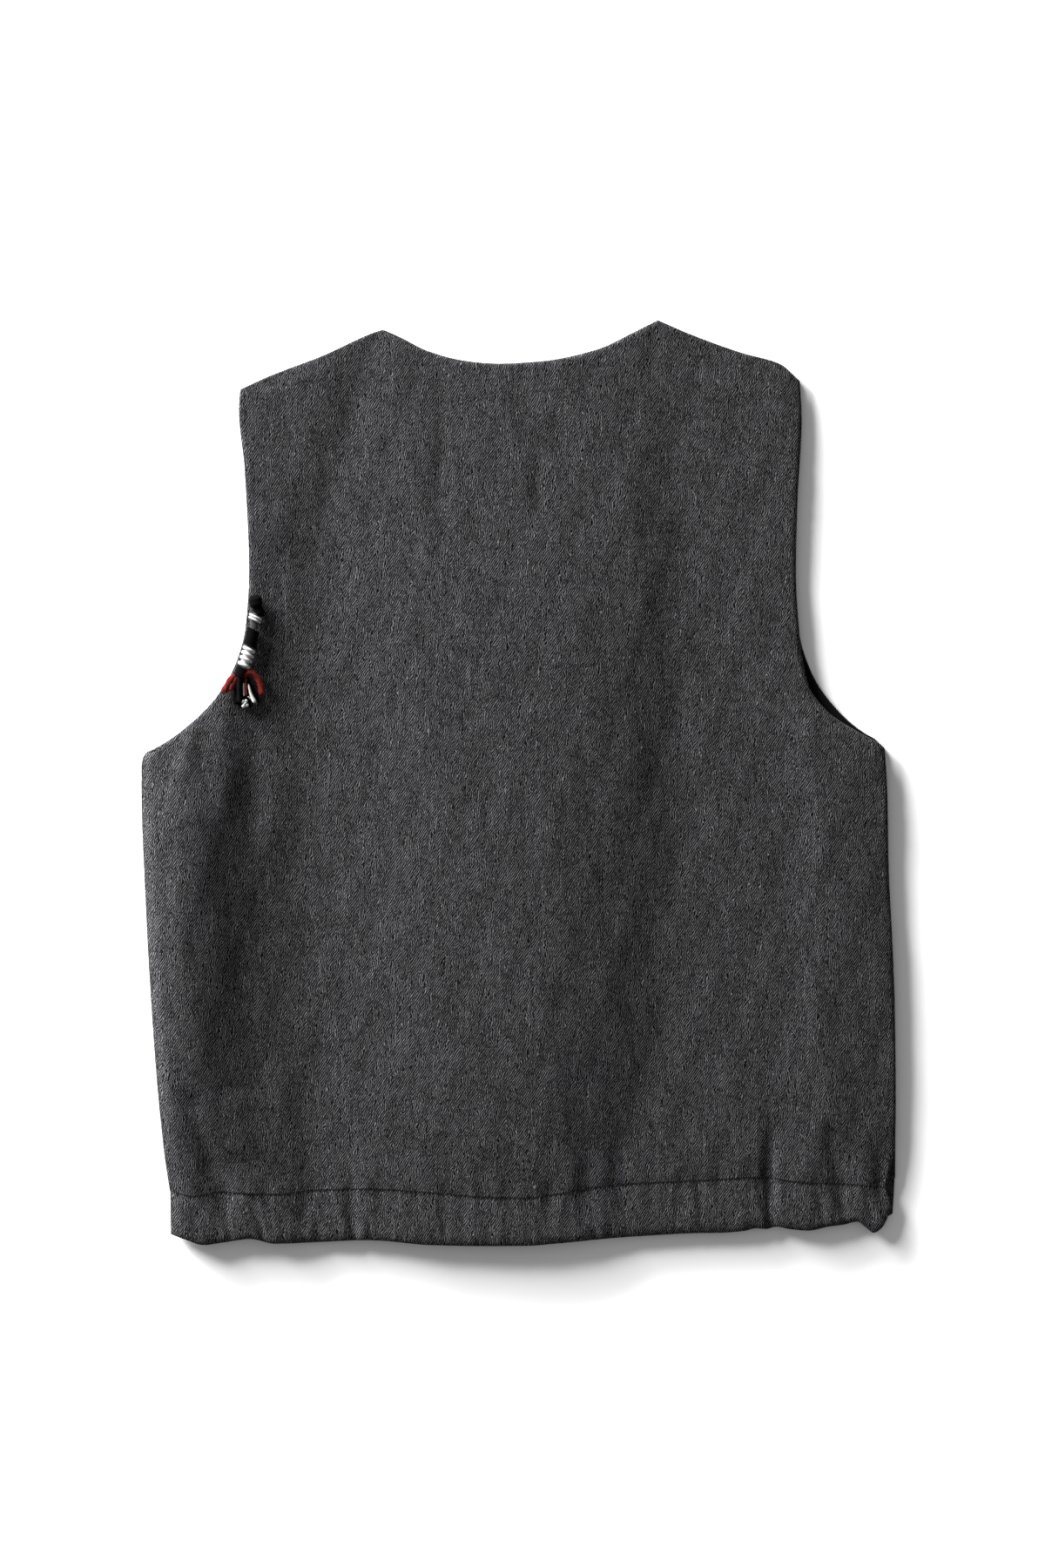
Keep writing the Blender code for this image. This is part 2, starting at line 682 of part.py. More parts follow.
def make_back_casing():
    """The turned-up hem, folded at the hem line, with its inner leg ending under the stitches."""
    fine_columns = finer(back_columns())
    stitched = by_x((STITCH_LINE,), fine_columns)
    hem = by_x((HEM_LINE,), fine_columns)
    level = back_top(stitched)
    risen, edge_top, _ = roll_at(stitched)
    base = edge_top + (drape_height(stitched) - edge_top) * risen
    legs = CASING_WALL + GAP + INNER_LEG_WALL
    sections = []
    for number in range(len(stitched)):
        start = stitched[number] - (0, GAP / 2)
        run = hem[number] - start
        deep = legs + (CASING_HEIGHT - legs) * risen[number]
        low = min(base[number] - deep, level[number] - legs)
        puff = (CASING_PUFF + STITCH_DIP) * risen[number]
        outer, inner = [], []
        for share, lift in CASING_CROWN:
            height = level[number] + puff * lift
            outer.append((*(start + run * share), height))
            inner.append((*(start + run * min(share, CASING_TURN)), height - CASING_WALL))
        middle = (level[number] + puff + low) / 2
        outer.append((*(start + run), middle))
        inner.append((*(start + run * CASING_FOLD), middle))
        for share in CASING_LEG:
            outer.append((*(start + run * share), low))
            inner.append((*(start + run * share), low + INNER_LEG_WALL))
        sections.append(outer + inner[::-1])
    return folded_strip("back_casing", sections, CHARCOAL)


# Fronts, hidden but for a sliver, flat on the surface


def front_heights(seams):
    """Height functions of a front that curls up to the back at its seams and lies flat elsewhere."""

    def near(plan):
        return distance(plan, seams).min(axis=1)

    def top(plan):
        lip = SEAM_LEVEL - GAP / 2 - FRONT_WALL
        return FRONT_WALL + lip * ease((CURL_REACH - near(plan)) / CURL_SLOPE)

    def under(plan):
        reach, height = CURL_UNDER
        return height * np.clip(1 - near(plan) / reach, 0, 1) ** 2

    return top, under


def front_rows(side, armhole, shoulder, centre):
    """Rows from the side edge to the centre front. The top edge runs over the shoulder, then down the V."""
    corner = FRONT_CORNER
    span = abs(shoulder[-1][0] - shoulder[0][0]) / abs(centre - shoulder[0][0])
    outer = side_edge(side, armhole, corner)

    def centre_edge(v):
        return np.array((centre, side[0][1] + v * (FRONT_NECK_Y - side[0][1])))

    def bottom(u):
        x = side[0][0] + (centre - side[0][0]) * u
        return np.stack([x, np.full_like(x, side[0][1])], axis=-1)

    def top(u):
        on_shoulder = along(shoulder, np.clip(u / span, 0, 1))
        down = np.clip((u - span) / (1 - span), 0, 1)[:, None]
        v_end = np.array((centre, FRONT_NECK_Y))
        return on_shoulder * (1 - down) + v_end * down

    edge = np.array(FRONT_EDGE_STEPS) / FRONT_WIDTH
    columns = np.concatenate([edge, np.linspace(edge[-1], span, 5)[1:], np.linspace(span, 1, 5)[1:]])
    lower = corner * np.linspace(0, 1, 9)
    upper = corner + (1 - corner) * np.linspace(0, 1, 14)[1:-1]
    last = 1 - np.array(FRONT_EDGE_STEPS[::-1]) / FRONT_LENGTH
    upper = upper[upper < last[0]]
    return [
        patch_row(outer, centre_edge, bottom, top, columns, v)
        for v in np.concatenate([lower, upper, last])
    ]


def seam_points(side, shoulder):
    """Points along a side seam and a shoulder seam, ending short of the armhole and the neck."""
    points = []
    for line, start, end in ((side, 0, SEAM_END), (shoulder, SEAM_END, SEAM_END)):
        steps = np.diff(np.asarray(line, float), axis=0)
        length = np.hypot(*steps.T).sum()
        count = int(length)
        points.append(along(line, np.linspace(start / length, 1 - end / length, count)))
    return np.concatenate(points)


def make_front(name, side, armhole, shoulder):
    top, under = front_heights(seam_points(side, shoulder))
    rows = front_rows(side, armhole, shoulder, math.copysign(CENTRE_FRONT, side[0][0]))
    return sheet(name, rows, top, under, CHARCOAL)


def make_front_casing(side_name, outer_x):
    """The turned-up hem of a front, flat on the surface and gathered no more than it shows."""
    centre = math.copysign(CENTRE_FRONT, outer_x)
    lower_x = FRONT_CASING_LOWER_X[side_name]
    wall = FRONT_CASING_WALL
    start = FRONT_STITCH_Y - GAP
    depth = start - FRONT_HEM_Y
    sections = []
    for share in (0.0, 0.03, 1.0):
        first = outer_x + (centre - outer_x) * share
        last = lower_x + (centre - lower_x) * share
        reach = depth - 4.0 if share == 0.0 else depth
        # Columns: share of the depth, height, for the outer side and then the inner side of the wall
        high = FRONT_CASING_HEIGHT
        half = high / 2
        outer = ((0, FRONT_WALL), (0.3, high), (0.85, high), (1.0, half), (0.85, 0.0), (0.12, 0.0))
        inner = (
            (0, FRONT_WALL - wall),
            (0.3, high - wall),
            (0.83, high - wall),
            (0.95, half),
            (0.83, wall),
            (0.12, wall),
        )
        section = []
        for at, height in outer + inner[::-1]:
            x = first + (last - first) * at
            section.append((x, start - reach * at, height))
        sections.append(section)
    return folded_strip(f"front_{side_name}_casing", sections, CHARCOAL)


def make_right_lining():
    """The black lining of the right front, which shows inside the right armhole."""
    side = [(x - LINING_SIDE_INSET, y) for x, y in RIGHT_FRONT_SIDE]
    side[0] = (side[0][0], FRONT_STITCH_Y + LINING_HEM_INSET)
    armhole = [(x - LINING_INSET, y - LINING_INSET / 2) for x, y in RIGHT_FRONT_ARMHOLE]
    armhole[0] = side[-1]
    armhole[-1] = LINING_SHOULDER[0]
    rows = front_rows(side, armhole, LINING_SHOULDER, LINING_CENTRE)

    def top(plan):
        return np.full(len(plan), LINING_UNDER + LINING_WALL)

    def under(plan):
        return np.full(len(plan), LINING_UNDER)

    return sheet("front_right_lining", rows, top, under, LINING_BLACK)


# Tassel of wound yarn that hangs from the left armhole and lies on the back


def ring_points(centre, heading, half_width, half_height, sides, lobes=0, depth=0.0):
    """An oval section square to a heading in plan, with its surface in lobes if asked."""
    beside = Vector((-heading.y, heading.x, 0))
    points = []
    for corner in range(sides):
        turn = 2 * math.pi * corner / sides
        bulge = 1 + depth * math.sin(lobes * turn)
        across = beside * (half_width * bulge * math.cos(turn))
        points.append(centre + across + Vector((0, 0, half_height * bulge * math.sin(turn))))
    return points


def rest_on_back(*places):
    """Level of the underside of a piece that lies on the back and reaches over these places."""
    return float(back_top(np.array(places, float)).max()) + GAP


def wound(name, start, end, half_width, turns, groove, colour):
    """Yarn wound side by side round a short length of the tassel, as a row of turns."""
    half_height = half_width * YARN_FLATNESS
    reach = REST_REACH * half_width
    middles = [rest_on_back((x, y), (x - reach, y), (x + reach, y)) + half_height for x, y in (start, end)]
    first, last = Vector((*start, middles[0])), Vector((*end, middles[1]))
    heading = (last - first).normalized()
    rings = []
    stations = [(turn + share, size) for turn in range(turns) for share, size in TURN_PROFILE]
    for at, size in (*stations, (turns, TURN_PROFILE[0][1])):
        scale = 1 - groove * (1 - size)
        centre = first.lerp(last, at / turns)
        rings.append(ring_points(centre, heading, half_width * scale, half_height * scale, 10))
    return tube(name, rings, colour)


def blob(name, centre, heading, half_sizes, colour):
    """A fuzzy knot, drawn as a lumpy ball."""
    x, y = centre
    half_width, half_length, half_height = half_sizes
    across, ahead = REST_REACH * half_width, REST_REACH * half_length
    level = rest_on_back(centre, (x - across, y), (x + across, y), (x, y - ahead), (x, y + ahead))
    middle = Vector((*centre, level + half_height))
    heading = Vector((*heading, 0)).normalized()
    rings = []
    for angle in np.linspace(KNOT_BLUNT, math.pi - KNOT_BLUNT, KNOT_RINGS):
        size = math.sin(angle)
        place = middle - heading * (half_length * math.cos(angle))
        rings.append(ring_points(place, heading, half_width * size, half_height * size, 12, *KNOT_LOBES))
    return tube(name, rings, colour)


def ring_hub():
    """Middle of the ring of yarn, which the cord runs through."""
    half_height = (RING_RADIUS - RING_YARN[0] / 2) * RING_FLATNESS + RING_YARN[0] / 2
    return Vector((*RING_CENTRE, rest_on_back(RING_CENTRE) + half_height))


def make_ring():
    """A turn of yarn round the cord, standing square to it."""
    thickness, width = RING_YARN
    heading = Vector((*RING_HEADING, 0)).normalized()
    beside = Vector((-heading.y, heading.x, 0))
    up = Vector((0, 0, 1))
    middle = RING_RADIUS - thickness / 2
    around, across = 16, 6
    points, faces = [], []
    for turn in range(around):
        angle = 2 * math.pi * turn / around
        out = beside * math.cos(angle) + up * math.sin(angle)
        spoke = beside * math.cos(angle) + up * (RING_FLATNESS * math.sin(angle))
        for corner in range(across):
            tilt = 2 * math.pi * corner / across
            aside = out * (thickness / 2 * math.cos(tilt)) + heading * (width / 2 * math.sin(tilt))
            points.append(ring_hub() + spoke * middle + aside)
    for turn in range(around):
        for corner in range(across):
            here = turn * across
            there = (turn + 1) % around * across
            after = (corner + 1) % across
            faces.append((here + corner, there + corner, there + after, here + after))
    return solid("tassel_ring", points, faces, YARN["white"])


def tuft(name, place, raised, heading, size, cells, length, fan, arch, droop, colour):
    """Strands of yarn that grow from the end face of a small block which holds their roots."""
    across, high = size
    columns, layers = cells
    heading = Vector((*heading, 0)).normalized()
    beside = Vector((-heading.y, heading.x, 0))
    up = Vector((0, 0, 1))
    start = Vector((*place, 0))
    tip = start + heading * length + beside * arch
    under = [start, tip, start.lerp(tip, 0.5)]
    under += [start + beside * across / 2, start - beside * across / 2]
    level = rest_on_back(*(spot.to_2d() for spot in under)) + raised
    root = start + up * (level + high / 2)
    points, faces = [], []

    def corner_number(column, layer):
        return layer * (columns + 1) + column

    for back in (0.0, TUFT_ROOT):
        for layer in range(layers + 1):
            for column in range(columns + 1):
                offset = beside * (across * (column / columns - 0.5)) + up * (high * (layer / layers - 0.5))
                points.append(root + offset - heading * back)
    behind = (columns + 1) * (layers + 1)
    edge = [corner_number(column, 0) for column in range(columns + 1)]
    edge += [corner_number(columns, layer) for layer in range(1, layers + 1)]
    edge += [corner_number(column, layers) for column in range(columns - 1, -1, -1)]
    edge += [corner_number(0, layer) for layer in range(layers - 1, 0, -1)]
    for start, end in zip(edge, edge[1:] + edge[:1]):
        faces.append((start, end, end + behind, start + behind))
    faces.append(tuple(number + behind for number in edge))
    for layer in range(layers):
        for column in range(columns):
            base = (
                corner_number(column, layer),
                corner_number(column + 1, layer),
                corner_number(column + 1, layer + 1),
                corner_number(column, layer + 1),
            )
            middle = sum((points[number] for number in base), Vector()) / 4
            aside = (column + 0.5) / columns - 0.5
            lift = (layer + 0.5) / layers
            chance = (GOLDEN * (3 * column + 7 * layer + 1)) % 1
            reach = length * (0.8 + 0.2 * chance)
            previous = base
            for share, scale in STRAND_PROFILE:
                bend = share * share
                place = middle + heading * (reach * share)
                place += beside * (fan * aside * share + arch * bend)
                place += up * (-droop * lift * bend)
                ring = []
                for number in base:
                    points.append(place + (points[number] - middle) * scale)
                    ring.append(len(points) - 1)
                for side in range(4):
                    after = (side + 1) % 4
                    faces.append((previous[side], previous[after], ring[after], ring[side]))
                previous = ring
            faces.append(tuple(previous))
    return solid(name, points, faces, colour)


def make_cord():
    """The grey cord from the knot, through the ring, to the wound neck."""
    level = ring_hub().z
    rings = []
    for share in np.linspace(0, 1, 9):
        x, y = along(CORD_ROUTE, share)
        ahead = along(CORD_ROUTE, min(share + 0.05, 1)) - along(CORD_ROUTE, max(share - 0.05, 0))
        heading = Vector((*ahead, 0)).normalized()
        rings.append(ring_points(Vector((x, y, level)), heading, CORD_RADIUS, CORD_RADIUS, 8))
    tube("tassel_cord", rings, YARN["grey"])


def make_tassel():
    blob("tassel_knot", KNOT_CENTRE, KNOT_HEADING, KNOT_HALF_SIZES, YARN["black"])
    make_cord()
    make_ring()
    for name, *shape, colour in WOUND:
        wound(f"tassel_{name}", *shape, YARN[colour])
    for name, *shape, colour in TUFTS:
        tuft(f"tassel_{name}", *shape, YARN[colour])


def main():
    for thing in list(bpy.data.objects):
        bpy.data.objects.remove(thing, do_unlink=True)
    make_back()
    make_back_casing()
    make_front("front_left", LEFT_FRONT_SIDE, LEFT_FRONT_ARMHOLE, LEFT_SHOULDER)
    make_front("front_right", RIGHT_FRONT_SIDE, RIGHT_FRONT_ARMHOLE, RIGHT_SHOULDER[::-1])
    make_front_casing("left", LEFT_FRONT_SIDE[0][0])
    make_front_casing("right", RIGHT_FRONT_SIDE[0][0])
    make_right_lining()
    make_tassel()


main()
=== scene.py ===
"""The looks of a plain charcoal twill vest laid flat on its fronts, with a small yarn tassel.

Lengths and places are in millimetres unless a name ends in _M, and piece() turns them into metres.
The cloth's tables are those of the solids, refined by less than 3 mm, and by up to 6 mm at the left
underarm of the back, so each piece of cloth keeps its solid's form.
"""

import math
import random

import bpy
import numpy as np
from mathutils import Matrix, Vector


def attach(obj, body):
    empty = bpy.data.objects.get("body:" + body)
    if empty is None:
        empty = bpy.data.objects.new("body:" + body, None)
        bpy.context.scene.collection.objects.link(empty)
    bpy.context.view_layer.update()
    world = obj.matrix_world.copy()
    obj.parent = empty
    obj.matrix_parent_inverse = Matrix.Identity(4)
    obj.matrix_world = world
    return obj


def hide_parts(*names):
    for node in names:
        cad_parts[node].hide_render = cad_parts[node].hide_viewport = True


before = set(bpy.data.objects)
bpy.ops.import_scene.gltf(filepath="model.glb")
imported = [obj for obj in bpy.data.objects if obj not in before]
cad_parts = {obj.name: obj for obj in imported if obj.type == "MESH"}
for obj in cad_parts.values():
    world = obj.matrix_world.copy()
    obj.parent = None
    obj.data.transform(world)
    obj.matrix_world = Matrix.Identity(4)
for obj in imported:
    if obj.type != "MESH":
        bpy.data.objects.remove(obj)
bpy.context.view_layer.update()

METRES = 0.001
GAP = 0.3
SEAM_CLEARANCE = 0.05  # on each side of a line of stitches
BODY = "root"

# Cloth levels, from the surface up
FRONT_WALL = 1.6
LINING_UNDER = 1.9
LINING_WALL = 1.0
BACK_WALL = 1.6
BACK_LOWEST = 3.3
SEAM_LEVEL = 4.0

# How the back's edge curves down. Columns: reach inwards, height of the edge's top, height of its
# underside, and the most that the edge lies below the cloth beside it
NO_LIMIT = 99.0
LEFT_ROLL = (9.0, 5.55, SEAM_LEVEL + GAP / 2, NO_LIMIT)
RIGHT_ROLL = (2.6, 5.55, SEAM_LEVEL + GAP / 2, 0.5)
SHOULDER_ROLL = (11.0, 5.55, SEAM_LEVEL + GAP / 2, NO_LIMIT)
FREE_ROLL = (2.4, 4.95, 3.45, 1.0)
ROLL_BLEND = 7.0
OUTLINE_STEP = 1.5
RIM_BULGE = 0.35  # how far the middle of an edge stands out, as a turned edge does

# Hem casing of the back
CASING_WALL = 1.2
CASING_PUFF = 0.1  # how far it stands above the level of the stitches
CASING_HEIGHT = 3.6  # from its underside up to the level of the stitches
INNER_LEG_WALL = 1.0
STITCH_DIP = 0.2  # how far the stitches pull the cloth down
STITCH_REACH = 3.0
CASING_STATIONS = 431
# Its section, in shares of its depth: where the outer and the inner side turn at the fold, how far the
# inner side runs on from there, and the points of the inner leg
CASING_TURN = 0.86
CASING_INNER_TURN = 0.84
CASING_INNER_FOLD = 0.1
CASING_LEG = (0.86, 0.6, 0.3, 0.08)
CASING_OUTER_POINTS = 11
CASING_FOLD_ANGLES = (58, -70, 7)  # from, to and how many, in degrees from level
# Rise of its outer side. Columns: share of the depth, share of the puff
CASING_CROWN = ((0.0, -0.3), (0.1, 0.0), (0.4, 0.6), (0.7, 1.0), (0.9, 0.7), (1.0, 0.1))

# Hem casings of the fronts
FRONT_STITCH_Y = -262.0
FRONT_HEM_Y = -290.0
FRONT_CASING_WALL = 1.0
FRONT_CASING_HEIGHT = 2.5
FRONT_CASING_LOWER_X = {"left": -229.8, "right": 248.4}
FRONT_CASING_STATIONS = (0.0, 0.015, *np.linspace(0.03, 1.0, 120))
FRONT_CASING_CORNER = (4.0, 0.03)  # how much its outer end is cut off, and over which share of it
FRONT_CASING_SINK = 0.24
# Its section, in the same shares as the back's
FRONT_CASING_TURN = 0.88
FRONT_CASING_INNER_TURN = 0.85
FRONT_CASING_LEG = (0.86, 0.5, 0.12)
FRONT_CASING_FOLD_ANGLES = (60, -60, 5)
FRONT_PUCKER = 0.12
FRONT_PUCKERS = ((2.1, 0.0), (3.7, 1.0))  # columns: pitch, start

# Fronts
CENTRE_FRONT = 0.4
FRONT_NECK_Y = 165.0
FRONT_CORNER = 0.52  # row that starts at the underarm
CURL_REACH = 3.4
CURL_SLOPE = 2.0
CURL_UNDER = (2.4, 1.4)
SEAM_END = 12.0

# Lining of the right front
LINING_SIDE_INSET = 4.8
LINING_HEM_INSET = 4.0
LINING_INSET = 0.6
LINING_CENTRE = 3.0
LINING_SHOULDER = ((181.5, 258.5), (173.1, 270.0), (147.1, 277.5), (112.4, 290.0), (97.0, 296.0))

# Outline of the back. Columns: X, Y
LEFT_SIDE = (
    (-231.2, -270.5), (-235.2, -243.3), (-241.6, -174.0), (-247.1, -81.5), (-250.0, -0.6),
    (-250.0, 10.0), (-248.9, 17.0), (-246.6, 20.4),
)
LEFT_ARMHOLE = (
    (-246.6, 20.4), (-240.7, 22.8), (-223.4, 34.1), (-200.0, 57.2), (-187.0, 80.3), (-180.9, 103.5),
    (-178.6, 140.0), (-181.5, 207.5), (-185.4, 248.0), (-184.6, 261.0),
)
RIGHT_SIDE = (
    (243.1, -268.8), (245.9, -259.0), (249.4, -240.0), (250.0, -215.0), (249.4, -150.9),
    (247.7, -104.6), (245.4, -58.4), (244.2, -0.6), (242.5, 23.1),
)
RIGHT_ARMHOLE = (
    (242.5, 23.1), (240.4, 25.2), (226.9, 32.6), (205.5, 46.6), (191.9, 65.6), (186.4, 96.5),
    (183.8, 140.0), (184.7, 184.4), (187.6, 242.2), (186.4, 266.5),
)
LEFT_SHOULDER = ((-184.6, 261.0), (-165.0, 269.9), (-130.3, 283.2), (-95.7, 298.8), (-89.9, 300.6))
NECK = (
    (-89.9, 300.6), (-78.3, 295.4), (-61.0, 286.7), (-35.0, 279.8), (-13.6, 278.0), (17.1, 279.8),
    (51.7, 287.3), (77.7, 299.4), (92.5, 306.9),
)
RIGHT_SHOULDER = ((92.5, 306.9), (112.4, 298.2), (147.1, 285.5), (173.1, 278.0), (186.4, 266.5))

# Line of stitches above the hem casing of the back. Columns: X, Y
STITCH_LINE = (
    (-231.2, -270.5), (-215.9, -274.0), (-198.5, -271.7), (-160.0, -272.8), (-136.1, -270.5),
    (-100.0, -269.3), (-58.1, -271.7), (-20.0, -274.6), (6.1, -275.1), (28.0, -272.2),
    (66.8, -266.5), (124.6, -263.6), (163.9, -261.8), (184.1, -264.7), (221.1, -266.5),
    (243.1, -268.8),
)
# Fold of the hem. Columns: X, Y
HEM_LINE = (
    (-230.8, -299.4), (-221.0, -302.8), (-209.0, -306.3), (-196.2, -304.8), (-178.0, -302.3),
    (-161.6, -305.5), (-140.0, -304.9), (-99.1, -303.2), (-57.5, -306.3), (-22.8, -306.9),
    (4.9, -306.7), (28.0, -305.0), (60.4, -302.0), (90.5, -300.0), (118.0, -298.6), (134.0, -298.4),
    (150.6, -297.0), (157.5, -295.4), (164.4, -295.9), (171.4, -294.4), (180.0, -295.9),
    (192.2, -296.9), (206.1, -294.2), (216.0, -293.0), (224.8, -291.0), (230.0, -294.4),
    (235.6, -298.4), (241.5, -294.8), (247.7, -281.5),
)

# Armholes and sides of the fronts. Columns: X, Y
LEFT_FRONT_ARMHOLE = (
    (-246.6, 20.4), (-236.0, 21.5), (-219.0, 31.0), (-195.0, 53.0), (-182.0, 78.0), (-175.5, 103.0),
    (-173.0, 140.0), (-177.0, 207.0), (-182.5, 246.0), (-184.6, 261.0),
)
RIGHT_FRONT_ARMHOLE = (
    (243.1, 22.5), (240.0, 27.0), (231.6, 31.8), (220.6, 39.6), (209.6, 50.6), (200.2, 62.6),
    (193.2, 76.0), (187.0, 95.0), (180.5, 140.0), (181.0, 184.4), (184.8, 242.2), (186.4, 266.5),
)
LEFT_FRONT_SIDE = ((-232.4, FRONT_STITCH_Y), *LEFT_SIDE[1:])
# The right front's side is the back's, but for its ends
RIGHT_FRONT_SIDE = ((249.8, FRONT_STITCH_Y), *RIGHT_SIDE[3:8], (243.1, 22.5))

# Drape of the back: a row for each crest or trough, with X and the height of the cloth's top
# at these six places along Y
DRAPE_Y = (290.0, 200.0, 78.0, -40.0, -160.0, -270.0)
DRAPE = {
    "left_edge": ((-230, -210, -222, -250, -246, -232), (5.8, 5.8, 10.0, 12.6, 13.0, 8.8)),
    "left_crest": ((-132, -156, -208, -219, -216, -208), (6.6, 7.2, 8.0, 18.6, 17.6, 10.2)),
    "left_fall": ((-118, -139, -162, -172, -174, -162), (6.2, 6.4, 6.2, 8.8, 8.6, 9.6)),
    "left_trough": ((-100, -121, -140, -140, -132, -126), (5.4, 5.2, 5.1, 5.0, 5.9, 7.8)),
    "left_slope": ((-80, -97, -105, -104, -104, -108), (6.6, 7.0, 7.2, 6.8, 7.4, 8.5)),
    "centre_left": ((-62, -68, -56, -46, -46, -54), (6.9, 8.4, 11.2, 12.4, 12.4, 11.2)),
    "centre": ((0, 2, 22, 20, 14, -6), (7.1, 8.9, 13.2, 14.8, 14.6, 11.8)),
    "centre_right": ((68, 74, 72, 60, 52, 30), (6.8, 8.2, 10.6, 12.4, 12.3, 11.3)),
    "right_trough": ((106, 109, 110, 110, 98, 76), (5.5, 5.4, 5.9, 6.7, 7.0, 7.7)),
    "right_flat": ((150, 150, 165, 176, 176, 170), (5.9, 6.0, 6.3, 6.7, 7.1, 8.0)),
    "right_crest": ((172, 178, 195, 203, 202, 198), (5.9, 6.3, 7.2, 8.8, 8.9, 8.6)),
    "right_swell": ((190, 200, 225, 234, 232, 228), (5.8, 6.1, 7.2, 7.9, 7.6, 7.4)),
    "right_edge": ((230, 215, 245, 252, 257, 254), (5.8, 5.9, 6.2, 6.3, 6.3, 6.2)),
}

# Single creases of the back. Columns: X and Y of one end, X and Y of the other, half width, height
CREASES = (
    (-52.0, 271.0, -50.0, 150.0, 6.0, -0.8),
    (13.0, 238.0, 13.0, 172.0, 5.0, -0.5),
    (-221.0, -205.0, -200.0, -262.0, 6.0, -1.6),
    (-226.0, -60.0, -222.0, -160.0, 7.0, 0.8),
    (206.0, -225.0, 213.0, -278.0, 6.0, -1.2),
    (-186.0, -205.0, -186.0, -250.0, 12.0, 1.4),
    (-214.0, 40.0, -225.0, 0.0, 6.0, 1.3),
    (-195.0, 62.0, -197.0, -24.0, 7.0, 0.9),
    (-176.0, 74.0, -176.0, -36.0, 10.0, -2.0),
)

# Gathers seen at the hem, softer than in the solids. Columns: X, half width, depth, reach above the
# stitches, lean over that reach
GATHERS = (
    (-196.0, 11.0, 2.8, 60.0, -18.0),
    (-168.5, 4.0, 0.7, 16.0, 1.0),
    (-140.0, 12.0, 2.4, 110.0, 1.0),
    (-126.5, 4.0, 0.6, 42.0, -1.0),
    (-111.0, 5.0, 1.2, 48.0, -2.0),
    (-93.5, 4.0, 0.4, 14.0, 0.0),
    (-37.0, 5.0, 0.9, 16.0, 0.0),
    (-6.5, 5.0, 1.0, 24.0, 0.0),
    (20.0, 4.5, 0.9, 16.0, 0.0),
    (44.0, 8.0, 1.9, 64.0, 1.0),
    (66.0, 6.0, 0.8, 40.0, 0.0),
    (166.0, 4.5, 2.8, 66.0, 3.0),
    (219.0, 8.0, 1.6, 44.0, -4.0),
    (240.5, 4.5, 1.6, 44.0, -1.0),
)
# Lesser gathers between them, unevenly spaced
RIPPLE_PITCH = 15.5
RIPPLE_PLACE = (0.35, 0.5)  # least share of the pitch, and how much more
RIPPLE_CLEARANCE = 11.0
RIPPLE_HALF_WIDTH = 4.2
RIPPLE_DEPTH = (0.45, 0.9)
RIPPLE_REACH = (12.0, 34.0)
RIPPLE_LEAN = 3.0
GOLDEN = 0.618034
GATHER_WIDENING = 0.5  # how much wider a gather is at the end of its reach
CREASE_FADE = 0.3  # share of a crease's length over which each end fades

# Gentle unevenness of the cloth. Columns: length of the wave along X, along Y, start, height
WAVER = (
    (61.0, 173.0, 0.4, 0.22),
    (37.0, -94.0, 2.1, 0.14),
    (23.0, 131.0, 4.4, 0.09),
    (148.0, 41.0, 1.3, 0.12),
    (17.0, -57.0, 3.1, 0.05),
)

# Meshes of the back and of a front: cells across and up, an even number of each
BACK_CELLS = (252, 296)
FRONT_CELLS = (72, 128)
UNDERSIDE = 2  # fine cells for each cell of a hidden underside
BACK_SIDE_LENGTH = 292.0
BACK_ARMHOLE_LENGTH = 267.0
# How much closer together the cells are at both ends of their row
BACK_CROWDING = (0.108, 0.45)
FRONT_CROWDING = 0.6
FRONT_COLUMN_POWER = 1.25

# Camera straight above, framed as the picture, whose sides are these sizes on the cloth
PICTURE_HEIGHT_M = 1.0404
PICTURE_CENTRE_M = (0.0026, -0.0006)
CLOTH_LEVEL_M = 0.005
LENS = 120.0
SENSOR = 36.0


def smooth(knots, values, at):
    """Values between knots on a curve through each one that never overshoots. The knots and values
    are one column for all places, or a column for each place."""
    at = np.atleast_1d(np.asarray(at, float))
    knots = np.asarray(knots, float)
    values = np.asarray(values, float)
    if knots.ndim == 1:
        knots = np.repeat(knots[:, None], len(at), axis=1)
    if values.ndim == 1:
        values = np.repeat(values[:, None], len(at), axis=1)
    at = np.clip(at, knots[0], knots[-1])
    width = np.diff(knots, axis=0)
    rise = np.diff(values, axis=0) / width
    slope = np.zeros_like(values)
    slope[0] = rise[0]
    slope[-1] = rise[-1]
    same_way = rise[:-1] * rise[1:] > 0
    mean = 2 * rise[:-1] * rise[1:] / np.where(same_way, rise[:-1] + rise[1:], 1)
    slope[1:-1] = np.where(same_way, mean, 0)
    left = np.clip((knots <= at).sum(axis=0) - 1, 0, len(width) - 1)[None]

    def pick(table, rows):
        return np.take_along_axis(table, rows, axis=0)[0]

    step = pick(width, left)
    t = (at - pick(knots, left)) / step
    start = (1 + 2 * t) * (1 - t) ** 2 * pick(values, left) + t * (1 - t) ** 2 * step * pick(slope, left)
    end = t**2 * (3 - 2 * t) * pick(values, left + 1) + t**2 * (t - 1) * step * pick(slope, left + 1)
    return start + end


def ease(t):
    """From 0 to 1 as t goes from 0 to 1, with level ends."""
    t = np.clip(t, 0, 1)
    return t * t * (3 - 2 * t)


def crowded(cells, amount):
    """Ends of cells from 0 to 1, closer together at both ends by an amount from 0 to 1."""
    even = np.linspace(0, 1, cells + 1)
    return even - amount * np.sin(2 * math.pi * even) / (2 * math.pi)


